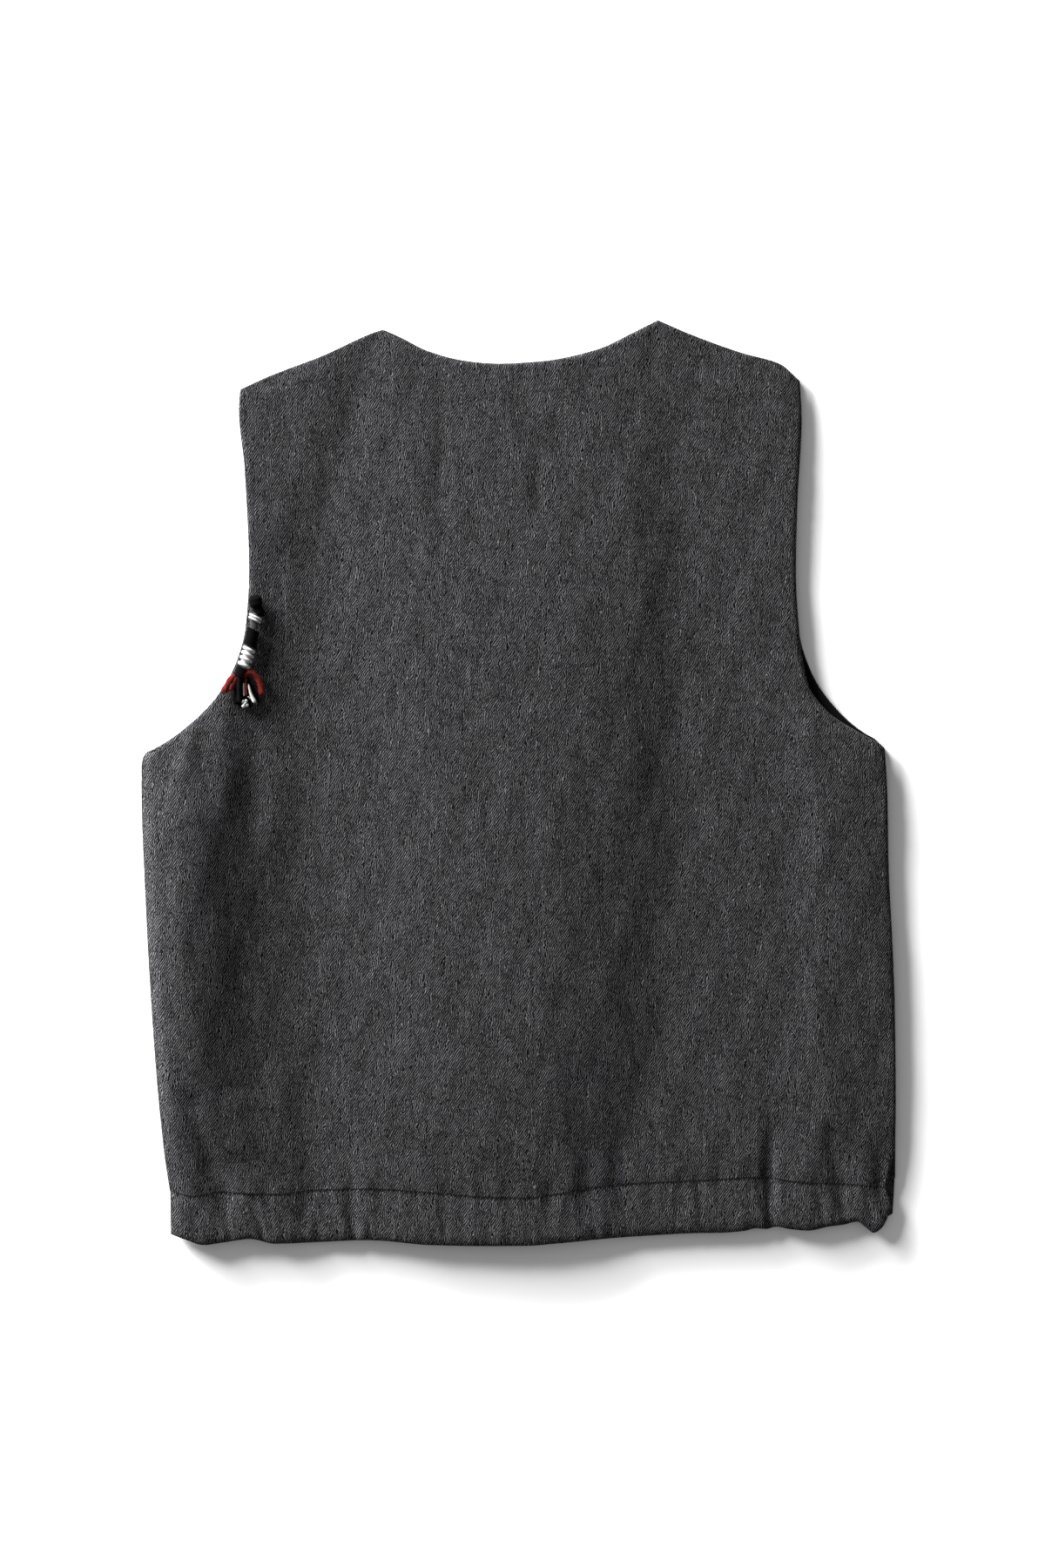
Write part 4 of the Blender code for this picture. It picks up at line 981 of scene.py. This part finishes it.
def front_net(side, armhole, shoulder, centre):
    """Net from the side edge to the centre front. Its top runs over the shoulder, then down the V."""
    span = abs(shoulder[-1][0] - shoulder[0][0]) / abs(centre - shoulder[0][0])

    def centre_edge(v):
        return np.array((centre, side[0][1] + v * (FRONT_NECK_Y - side[0][1])))

    def bottom(u):
        x = side[0][0] + (centre - side[0][0]) * u
        return np.stack([x, np.full_like(x, side[0][1])], axis=-1)

    def top(u):
        on_shoulder = along(shoulder, np.clip(u / span, 0, 1))
        down = np.clip((u - span) / (1 - span), 0, 1)[:, None]
        return on_shoulder * (1 - down) + np.array((centre, FRONT_NECK_Y)) * down

    across, up = FRONT_CELLS
    columns = np.linspace(0, 1, across + 1) ** FRONT_COLUMN_POWER
    columns[np.abs(columns - span).argmin()] = span
    rows = crowded(up, FRONT_CROWDING)
    rows[np.abs(rows - FRONT_CORNER).argmin()] = FRONT_CORNER
    return patch(side_edge(side, armhole, FRONT_CORNER), centre_edge, bottom, top, columns, rows)


def make_front(side_name, side, armhole, shoulder):
    seams = seam_points(side, shoulder)

    def top(plan):
        lip = SEAM_LEVEL - GAP / 2 - FRONT_WALL
        return FRONT_WALL + lip * ease((CURL_REACH - near_points(plan, seams)) / CURL_SLOPE)

    def under(plan):
        reach, height = CURL_UNDER
        return height * np.clip(1 - near_points(plan, seams) / reach, 0, 1) ** 2

    net = front_net(side, armhole, shoulder, math.copysign(CENTRE_FRONT, side[0][0]))
    name = f"front_{side_name}"
    front = piece(f"vest_{name}", *cloth_wall(net, top, under), "twill", "twill", name)
    return front, flat_area(net)


def make_front_casing(side_name, outer_x):
    """The turned-up hem of a front, flat on the surface, with a few soft gathers in its free side."""
    centre = math.copysign(CENTRE_FRONT, outer_x)
    lower_x = FRONT_CASING_LOWER_X[side_name]
    start = FRONT_STITCH_Y - GAP
    wall, high = FRONT_CASING_WALL, FRONT_CASING_HEIGHT
    half = high / 2
    cut, over = FRONT_CASING_CORNER
    inner_turn = FRONT_CASING_INNER_TURN
    crown = np.linspace(0, FRONT_CASING_TURN, 9)
    step_up = ease(crown / 0.3)
    fold = np.radians(np.linspace(*FRONT_CASING_FOLD_ANGLES))
    rings = []
    for share in FRONT_CASING_STATIONS:
        first = outer_x + (centre - outer_x) * share
        last = lower_x + (centre - lower_x) * share
        reach = start - FRONT_HEM_Y - cut * (1 - ease(share / over))
        waves = sum(math.sin(first / pitch + begin) for pitch, begin in FRONT_PUCKERS)
        pucker = FRONT_PUCKER * waves * float(ease(share / 0.05))
        rise = FRONT_WALL + (high - FRONT_WALL + pucker) * step_up - FRONT_CASING_SINK

        def spot(at, height):
            return (first + (last - first) * at, start - reach * at, height)

        outer = [spot(at, height) for at, height in zip(crown, rise)]
        outer += [spot(0.9 + 0.1 * math.cos(turn), half + half * 0.9 * math.sin(turn)) for turn in fold]
        outer += [spot(at, 0.0) for at in FRONT_CASING_LEG]
        inner = [spot(min(at, inner_turn), height - wall) for at, height in zip(crown, rise)]
        inner += [spot(inner_turn + 0.07 * math.cos(turn), half + 0.2 * math.sin(turn)) for turn in fold]
        inner += [spot(min(at, 0.84), wall - 0.1) for at in FRONT_CASING_LEG]
        rings.append(outer + inner[::-1])
    name = f"front_{side_name}_casing"
    return piece(f"vest_{name}", *folded_strip(rings), "twill", "twill", name)


def make_right_lining():
    """The black lining of the right front, which shows inside the right armhole."""
    side = [(x - LINING_SIDE_INSET, y) for x, y in RIGHT_FRONT_SIDE]
    side[0] = (side[0][0], FRONT_STITCH_Y + LINING_HEM_INSET)
    armhole = [(x - LINING_INSET, y - LINING_INSET / 2) for x, y in RIGHT_FRONT_ARMHOLE]
    armhole[0] = side[-1]
    armhole[-1] = LINING_SHOULDER[0]
    net = front_net(side, armhole, LINING_SHOULDER, LINING_CENTRE)

    def top(plan):
        return np.full(len(plan), LINING_UNDER + LINING_WALL)

    def under(plan):
        return np.full(len(plan), LINING_UNDER)

    lining = piece(
        "vest_front_right_lining", *cloth_wall(net, top, under), "lining", "lining", "front_right_lining"
    )
    return lining, flat_area(net)


# Sewing


# Section of a stitch along its length. Columns: share of the length, sink and size, both in radii
STITCH_PROFILE = ((0, 1.5, 0.5), (0.12, 0.45, 0.95), (0.5, 0.0, 1.0), (0.88, 0.45, 0.95), (1, 1.5, 0.5))
# Stitches of the casing and of the label: pitch and length
CASING_STITCH = (3.0, 2.35)
CASING_THREAD = 0.24  # radius
CASING_STITCH_ENDS = (0.006, 0.994)  # shares of the line between which it is sewn
LABEL_STITCH = (2.9, 2.1)


def thread(start, end, radius, sides=6):
    """One stitch: a short length of thread whose ends dive into the cloth."""
    start, end = Vector(start), Vector(end)
    heading = (end - start).normalized()
    beside = Vector((-heading.y, heading.x, 0)).normalized()
    up = heading.cross(beside) * -1
    if up.z < 0:
        up = -up
    rings = []
    for share, drop, size in STITCH_PROFILE:
        centre = start.lerp(end, share) - up * (drop * radius)
        rings.append(
            [
                centre
                + beside * (size * radius * math.cos(2 * math.pi * corner / sides))
                + up * (size * radius * math.sin(2 * math.pi * corner / sides))
                for corner in range(sides)
            ]
        )
    return strip_of_rings(rings)


class Heap:
    """Points and faces of one joined mesh of closed bodies."""

    def __init__(self):
        self.points = []
        self.faces = []

    def add(self, points, faces):
        if signed_volume(points, faces) < 0:
            faces = [face[::-1] for face in faces]
        start = len(self.points)
        self.points.extend(tuple(point) for point in points)
        self.faces.extend(tuple(number + start for number in face) for face in faces)

    def shown(self, name, material, slot, *nodes):
        return piece(name, self.points, self.faces, material, slot, *nodes)


def make_casing_stitches():
    (pitch, length), radius = CASING_STITCH, CASING_THREAD
    heap = Heap()
    dense = by_x((STITCH_LINE,), np.linspace(*CASING_STITCH_ENDS, 2000))
    run = np.concatenate([[0], np.cumsum(np.hypot(*np.diff(dense, axis=0).T))])
    for start in np.arange(0, run[-1] - pitch, pitch):
        ends = np.stack([np.interp((start, start + length), run, column) for column in dense.T], axis=-1)
        heights = back_top(ends + (0, 0.3)) + radius * 0.45
        heap.add(*thread((*ends[0], heights[0]), (*ends[1], heights[1]), radius))
    return heap.shown("stitches_back_casing", "thread_dark", "twill")


# Rows of stitches that hold a label on the other side. Columns: X, Y of the upper and of the lower end,
# radius
LABEL_ROWS = (
    (-37.9, 265.0, 243.0, 0.22),
    (-37.6, 240.0, 218.0, 0.15),
    (31.0, 267.0, 222.0, 0.15),
)


def make_label_stitches():
    pitch, length = LABEL_STITCH
    heap = Heap()
    for x, high, low, radius in LABEL_ROWS:
        for start in np.arange(high, low, -pitch):
            ends = np.array([(x, start), (x + 0.1, start - length)])
            heights = back_top(ends) + radius * 0.2
            heap.add(*thread((*ends[0], heights[0]), (*ends[1], heights[1]), radius))
    return heap.shown("stitches_label", "thread_light", "twill")


# Tassel that hangs from the left armhole and lies on the back

YARN_FLATNESS = 0.75
TILT = math.radians(-28)  # of the turns of yarn, from the X axis
# Lobes of the knot. Columns: X, Y, half width, half length, heading in degrees
KNOT_LOBES = (
    (-174.2, 120.0, 4.5, 4.7, -75.0),
    (-172.2, 113.6, 3.6, 4.0, -60.0),
)
CORD_ROUTE = ((-172.8, 112.4), (-173.9, 110.4), (-174.9, 107.0), (-175.8, 102.2))
CORD_HALF_WIDTH = 2.9
CORD_FLATNESS = 0.5
# Turns of yarn. Columns: name, X and Y of the first and of the last turn, half width, thickness, turns
TURNS = (
    ("ring", (-174.3, 110.0), (-174.8, 108.2), 4.6, 1.75, 2),
    ("neck", (-175.9, 101.4), (-178.2, 91.4), 4.4, 1.3, 11),
    ("windings", (-178.6, 88.4), (-180.6, 82.0), 4.6, 2.5, 3),
    ("band", (-182.9, 75.6), (-184.6, 71.2), 4.5, 1.4, 4),
)
LAST_WINDING = (-182.0, 78.2)
WHITE_TURNS = ("ring", "windings")
# Fuzzy lengths of yarn. Columns: half width, height above the cloth, fibres, points of its route
RED_LEFT = (
    (
        *(2.6, 1.0, 560),
        ((-186.9, 71.4), (-189.4, 69.6), (-191.8, 66.6), (-193.4, 63.8), (-194.6, 61.6), (-195.4, 59.8)),
    ),
    (2.4, 1.2, 420, ((-186.4, 70.2), (-188.2, 67.6), (-190.0, 64.2), (-191.4, 61.0))),
)
RED_RIGHT = (
    (
        *(2.5, 3.0, 820),
        ((-182.6, 70.4), (-180.6, 72.6), (-178.2, 73.2), (-174.2, 70.8), (-171.2, 65.8), (-169.6, 58.0)),
    ),
    (0.9, 4.6, 90, ((-180.7, 69.6), (-180.5, 64.0), (-180.2, 58.4))),
)
BLACK = (
    (2.6, 0.0, 150, ((-185.2, 71.6), (-186.4, 62.0), (-187.0, 52.0))),
    (2.6, 0.0, 150, ((-184.2, 71.6), (-184.0, 60.0), (-183.2, 49.6))),
    (2.6, 0.0, 150, ((-182.6, 71.6), (-180.6, 60.0), (-178.8, 50.2))),
    (2.4, 0.0, 150, ((-181.2, 71.0), (-176.6, 60.0), (-172.6, 54.2))),
    (2.0, 3.2, 130, ((-184.6, 71.6), (-185.0, 62.0), (-184.4, 53.0))),
    (2.0, 3.0, 130, ((-182.4, 71.0), (-178.6, 62.0), (-174.0, 56.0))),
)
# Bare lengths of white yarn. Columns: half width at the root and at the end, height above the cloth,
# points of its route
WHITE = (
    (0.5, 0.6, 4.4, ((-182.2, 66.4), (-182.1, 62.0), (-181.9, 57.6))),
    (0.6, 1.5, 5.0, ((-179.0, 65.6), (-177.6, 60.0), (-174.6, 53.0))),
    (0.5, 0.9, 4.6, ((-179.4, 57.4), (-177.8, 56.4), (-176.0, 55.6))),
)
# Blunt ends of white yarn. Columns: X, Y, radius
WHITE_ENDS = (
    (-182.6, 54.0, 1.25),
    (-180.6, 54.4, 1.2),
    (-182.2, 51.0, 1.3),
    (-180.0, 51.6, 1.25),
    (-181.3, 52.7, 1.3),
)
WHITE_ENDS_RAISED = 3.6
FIBRE_RADIUS = 0.085
FIBRE_LENGTH = (0.35, 1.15)
YARN_CORE = 0.86  # share of a soft yarn's width inside its fibres


def on_cloth(x, y, reach=3.0):
    """Level of the underside of yarn that lies on the back around a place."""
    spots = np.array([(x, y), (x - reach, y), (x + reach, y), (x, y - reach), (x, y + reach)])
    return float(back_top(spots).max()) + GAP


def route(points, level_above, half_height, steps):
    """A smooth path over the cloth through points in plan."""
    plan = along(points, np.linspace(0, 1, steps))
    levels = [on_cloth(x, y, 1.5) + level_above + half_height for x, y in plan]
    return np.column_stack([plan, levels])


def directions(path):
    """Unit vectors ahead, beside and over, at each point of a path that is nowhere upright."""
    ahead = np.gradient(path, axis=0)
    ahead /= np.linalg.norm(ahead, axis=1, keepdims=True)
    beside = np.stack([-ahead[:, 1], ahead[:, 0], np.zeros(len(path))], axis=-1)
    beside /= np.linalg.norm(beside, axis=1, keepdims=True)
    return ahead, beside, np.cross(ahead, beside)


def swept(path, half_widths, flatness=1.0, sides=8, lobes=0, depth=0.0, twist=0.0):
    """Rings of points round a path, whose section may have lobes that turn along it."""
    _, beside, over = directions(path)
    turns = 2 * math.pi * np.arange(sides) / sides
    rings = []
    for number, half in enumerate(half_widths):
        bulge = half * (1 + depth * np.sin(lobes * turns + twist * number))
        across = np.outer(bulge * np.cos(turns), beside[number])
        rings.append(path[number] + across + np.outer(flatness * bulge * np.sin(turns), over[number]))
    return rings


def rounded_ends(steps, share=0.12, least=0.35):
    """Shares of a width that narrow at both ends, as a blunt end of yarn does."""
    at = np.linspace(0, 1, steps)
    inwards = np.clip(np.minimum(at, 1 - at) / share, 0, 1)
    return least + (1 - least) * np.sqrt(1 - (1 - inwards) ** 2)


PLY_TWIST = 3.0  # how far a turn of yarn twists in each radian of its way round


def yarn_turn(heap, centre, beside, half_width, thickness, around=30, sides=8):
    """One turn of yarn round the tassel, which crosses it in the direction beside."""
    radius = thickness / 2
    up = np.array((0.0, 0.0, 1.0))
    axis = np.cross(beside, up)
    rings = []
    for angle in 2 * math.pi * np.arange(around) / around:
        out = beside * math.cos(angle) + up * math.sin(angle)
        wide = beside * ((half_width - radius) * math.cos(angle))
        high = up * ((half_width * YARN_FLATNESS - radius) * math.sin(angle))
        tilts = 2 * math.pi * np.arange(sides) / sides + PLY_TWIST * angle
        ply = radius * (1 + 0.05 * np.cos(2 * tilts))
        ring = np.outer(ply * np.cos(tilts), out) + np.outer(ply * np.sin(tilts), axis)
        rings.append(centre + wide + high + ring)
    points = np.concatenate(rings)
    shift = round(PLY_TWIST * sides) % sides
    faces = []
    for turn in range(around):
        for corner in range(sides):
            after = (corner + 1) % sides
            step = shift if turn == around - 1 else 0
            here, there = turn * sides, (turn + 1) % around * sides
            far = there + (corner + step) % sides
            faces.append((here + corner, here + after, there + (corner + 1 + step) % sides, far))
    heap.add(points, faces)


def core(heap, first, last, half_width, sides=10):
    """What the turns of yarn are wound round."""
    first, last = np.asarray(first), np.asarray(last)
    path = np.array([first * (1 - at) + last * at for at in np.linspace(0, 1, 5)])
    heap.add(*strip_of_rings(swept(path, [half_width] * 5, YARN_FLATNESS, sides)))


def fibres(heap, path, half_width, flatness, count, chance):
    """Loose fibres that stand off a length of yarn all round."""
    ahead, beside, over = directions(path)
    floor = path[:, 2].min() - half_width * flatness
    for _ in range(count):
        number = chance.randrange(len(path))
        angle = chance.uniform(-0.4, math.pi + 0.4)
        out = beside[number] * math.cos(angle) + over[number] * (flatness * math.sin(angle))
        foot = path[number] + out * (half_width * 0.85) + ahead[number] * chance.uniform(-0.5, 0.5)
        lean = ahead[number] * chance.uniform(-0.8, 0.8) + beside[number] * chance.uniform(-0.3, 0.3)
        tip = foot + (out + lean) * chance.uniform(*FIBRE_LENGTH)
        tip[2] = max(tip[2], floor)
        turn = chance.uniform(0, 2 * math.pi)
        across = ahead[number] * math.cos(turn) + np.cross(out, ahead[number]) * math.sin(turn)
        other = np.cross(out, across)
        base = [
            foot + (across * math.cos(corner) + other * math.sin(corner)) * FIBRE_RADIUS
            for corner in (0.0, 2.1, 4.2)
        ]
        heap.add([*base, tip], [(0, 1, 2), (0, 3, 1), (1, 3, 2), (2, 3, 0)])


def fuzzy(name, lengths, material, node, chance):
    """Lengths of soft yarn with fibres all round, in one piece."""
    heap = Heap()
    for half_width, raised, count, points in lengths:
        path = route(points, raised, half_width * YARN_FLATNESS, 26)
        widths = YARN_CORE * half_width * rounded_ends(len(path))
        heap.add(*strip_of_rings(swept(path, widths, YARN_FLATNESS, 10, 3, 0.10, 0.5)))
        fibres(heap, path, half_width * YARN_CORE, YARN_FLATNESS, count, chance)
    return heap.shown(name, material, material, node)


def make_knot(chance):
    heap = Heap()
    for x, y, half_width, half_length, heading in KNOT_LOBES:
        turn = math.radians(heading)
        run = np.array((math.cos(turn), math.sin(turn)))
        level = on_cloth(x, y, half_width * 0.7) + half_width * YARN_FLATNESS
        angles = np.linspace(0.12, math.pi - 0.12, 18)
        plan = np.array((x, y)) - np.outer(np.cos(angles), run * half_length)
        path = np.column_stack([plan, np.full(len(plan), level)])
        widths = half_width * np.sin(angles) * (1 + 0.05 * np.sin(7 * angles))
        heap.add(*strip_of_rings(swept(path, widths, YARN_FLATNESS, 18, 5, 0.05, 0.45)))
        for number in range(2, 16):
            fibres(heap, path[number - 1 : number + 2], widths[number] * 0.98, YARN_FLATNESS, 45, chance)
    return heap.shown("vest_tassel_knot", "yarn_black", "yarn_black", "tassel_knot")


def make_cord():
    level = on_cloth(*TURNS[0][1]) + TURNS[0][3] * YARN_FLATNESS
    plan = along(CORD_ROUTE, np.linspace(0, 1, 20))
    path = np.column_stack([plan, np.full(len(plan), level)])
    points, faces = strip_of_rings(swept(path, [CORD_HALF_WIDTH] * 20, CORD_FLATNESS, 12, 4, 0.05, 0.7))
    return piece("vest_tassel_cord", points, faces, "yarn_grey", "yarn_grey", "tassel_cord")


def make_turns(name, first, last, half_width, thickness, turns):
    heap = Heap()
    beside = np.array((math.cos(TILT), math.sin(TILT), 0.0))
    ends = [np.array((*place, on_cloth(*place) + half_width * YARN_FLATNESS)) for place in (first, last)]
    for at in np.linspace(0, 1, turns):
        yarn_turn(heap, ends[0] * (1 - at) + ends[1] * at, beside, half_width, thickness)
    if name == "windings":
        place = np.array((*LAST_WINDING, on_cloth(*LAST_WINDING) + half_width * YARN_FLATNESS))
        yarn_turn(heap, place, beside, half_width, thickness)
        ends[1] = place
    if name != "ring":
        core(heap, *ends, half_width - thickness * 0.7)
    slot = "yarn_white" if name in WHITE_TURNS else "yarn_black"
    return heap.shown(f"vest_tassel_{name}", slot, slot, f"tassel_{name}")


def make_white_strands():
    heap = Heap()
    for first_half, last_half, raised, points in WHITE:
        path = route(points, raised, first_half, 16)
        widths = np.linspace(first_half, last_half, 16) * rounded_ends(16, 0.1)
        heap.add(*strip_of_rings(swept(path, widths, 0.7, 10, 3, 0.06, 0.5)))
    for x, y, radius in WHITE_ENDS:
        level = on_cloth(x, y, 1.5) + WHITE_ENDS_RAISED + radius
        angles = np.linspace(0.2, math.pi - 0.2, 9)
        path = np.array([(x, y + radius * math.cos(angle), level) for angle in angles])
        heap.add(*strip_of_rings(swept(path, radius * np.sin(angles), 0.9, 12)))
    return heap.shown("vest_tassel_white", "yarn_white", "yarn_white", "tassel_white")


def make_tassel():
    chance = random.Random(7)
    make_knot(chance)
    make_cord()
    for row in TURNS:
        make_turns(*row)
    fuzzy("vest_tassel_black", BLACK, "yarn_black", "tassel_black", chance)
    fuzzy("vest_tassel_red_left", RED_LEFT, "yarn_red", "tassel_red_left", chance)
    fuzzy("vest_tassel_red_right", RED_RIGHT, "yarn_red", "tassel_red_right", chance)
    make_white_strands()


# Camera, light and floor

AMBIENT = 0.33
# Soft boxes. Columns: name, power, size across and up in metres, elevation, turn from the neck's side
# towards the left
LAMPS = (
    ("low", 700.0, 2.2, 0.7, 9.5, 38.0),
    ("high", 470.0, 1.6, 1.2, 18.5, 52.0),
)
LAMP_DISTANCE_M = 4.0
FLOOR_HALF_M = 8.0
FLOOR_DROP_M = 0.0001
FLOOR_WHITE = (0.86, 0.86, 0.86, 1)


def make_stage():
    scene = bpy.context.scene
    scene.view_settings.view_transform = "Standard"
    floor_mesh = bpy.data.meshes.new("floor")
    signs = ((-1, -1), (1, -1), (1, 1), (-1, 1))
    corners = [(x * FLOOR_HALF_M, y * FLOOR_HALF_M, -FLOOR_DROP_M) for x, y in signs]
    floor_mesh.from_pydata(corners, [], [(0, 1, 2, 3)])
    floor = bpy.data.objects.new("floor", floor_mesh)
    scene.collection.objects.link(floor)
    paper = bpy.data.materials.new("floor_white")
    paper.use_nodes = True
    shader = paper.node_tree.nodes["Principled BSDF"]
    shader.inputs["Base Color"].default_value = FLOOR_WHITE
    shader.inputs["Roughness"].default_value = 0.9
    shader.inputs["Specular IOR Level"].default_value = 0.1
    floor_mesh.materials.append(paper)

    world = bpy.data.worlds.new("studio")
    world.use_nodes = True
    scene.world = world
    tree = world.node_tree
    background = tree.nodes["Background"]
    background.inputs["Color"].default_value = (1, 1, 1, 1)
    seen = add_node(tree, "LightPath").outputs["Is Camera Ray"]
    tree.links.new(limits(tree, seen, 0, 1, AMBIENT, 1.0), background.inputs["Strength"])

    for name, power, across, up, elevation, turned in LAMPS:
        lamp = bpy.data.lights.new(f"soft_box_{name}", "AREA")
        lamp.shape = "RECTANGLE"
        lamp.energy = power
        lamp.size, lamp.size_y = across, up
        box = bpy.data.objects.new(f"soft_box_{name}", lamp)
        rise, turn = math.radians(elevation), math.radians(turned)
        level = math.cos(rise)
        source = Vector((-math.sin(turn) * level, math.cos(turn) * level, math.sin(rise)))
        box.rotation_mode = "QUATERNION"
        box.rotation_quaternion = source.to_track_quat("Z", "Y")
        box.location = source * LAMP_DISTANCE_M
        box.visible_camera = False
        scene.collection.objects.link(box)

    lens = bpy.data.cameras.new("camera")
    lens.lens = LENS
    lens.sensor_width = SENSOR
    lens.clip_end = 50
    camera = bpy.data.objects.new("camera", lens)
    distance_m = PICTURE_HEIGHT_M * LENS / SENSOR
    camera.location = (*PICTURE_CENTRE_M, CLOTH_LEVEL_M + distance_m)
    scene.collection.objects.link(camera)
    scene.camera = camera


def main():
    make_stage()
    back, back_area = make_back()
    back_casing = make_back_casing()
    front_left, left_area = make_front("left", LEFT_FRONT_SIDE, LEFT_FRONT_ARMHOLE, LEFT_SHOULDER)
    shoulder = RIGHT_SHOULDER[::-1]
    front_right, right_area = make_front("right", RIGHT_FRONT_SIDE, RIGHT_FRONT_ARMHOLE, shoulder)
    left_casing = make_front_casing("left", LEFT_FRONT_SIDE[0][0])
    right_casing = make_front_casing("right", RIGHT_FRONT_SIDE[0][0])
    lining, lining_area = make_right_lining()
    stitches = make_casing_stitches()
    label_stitches = make_label_stitches()
    make_tassel()


main()
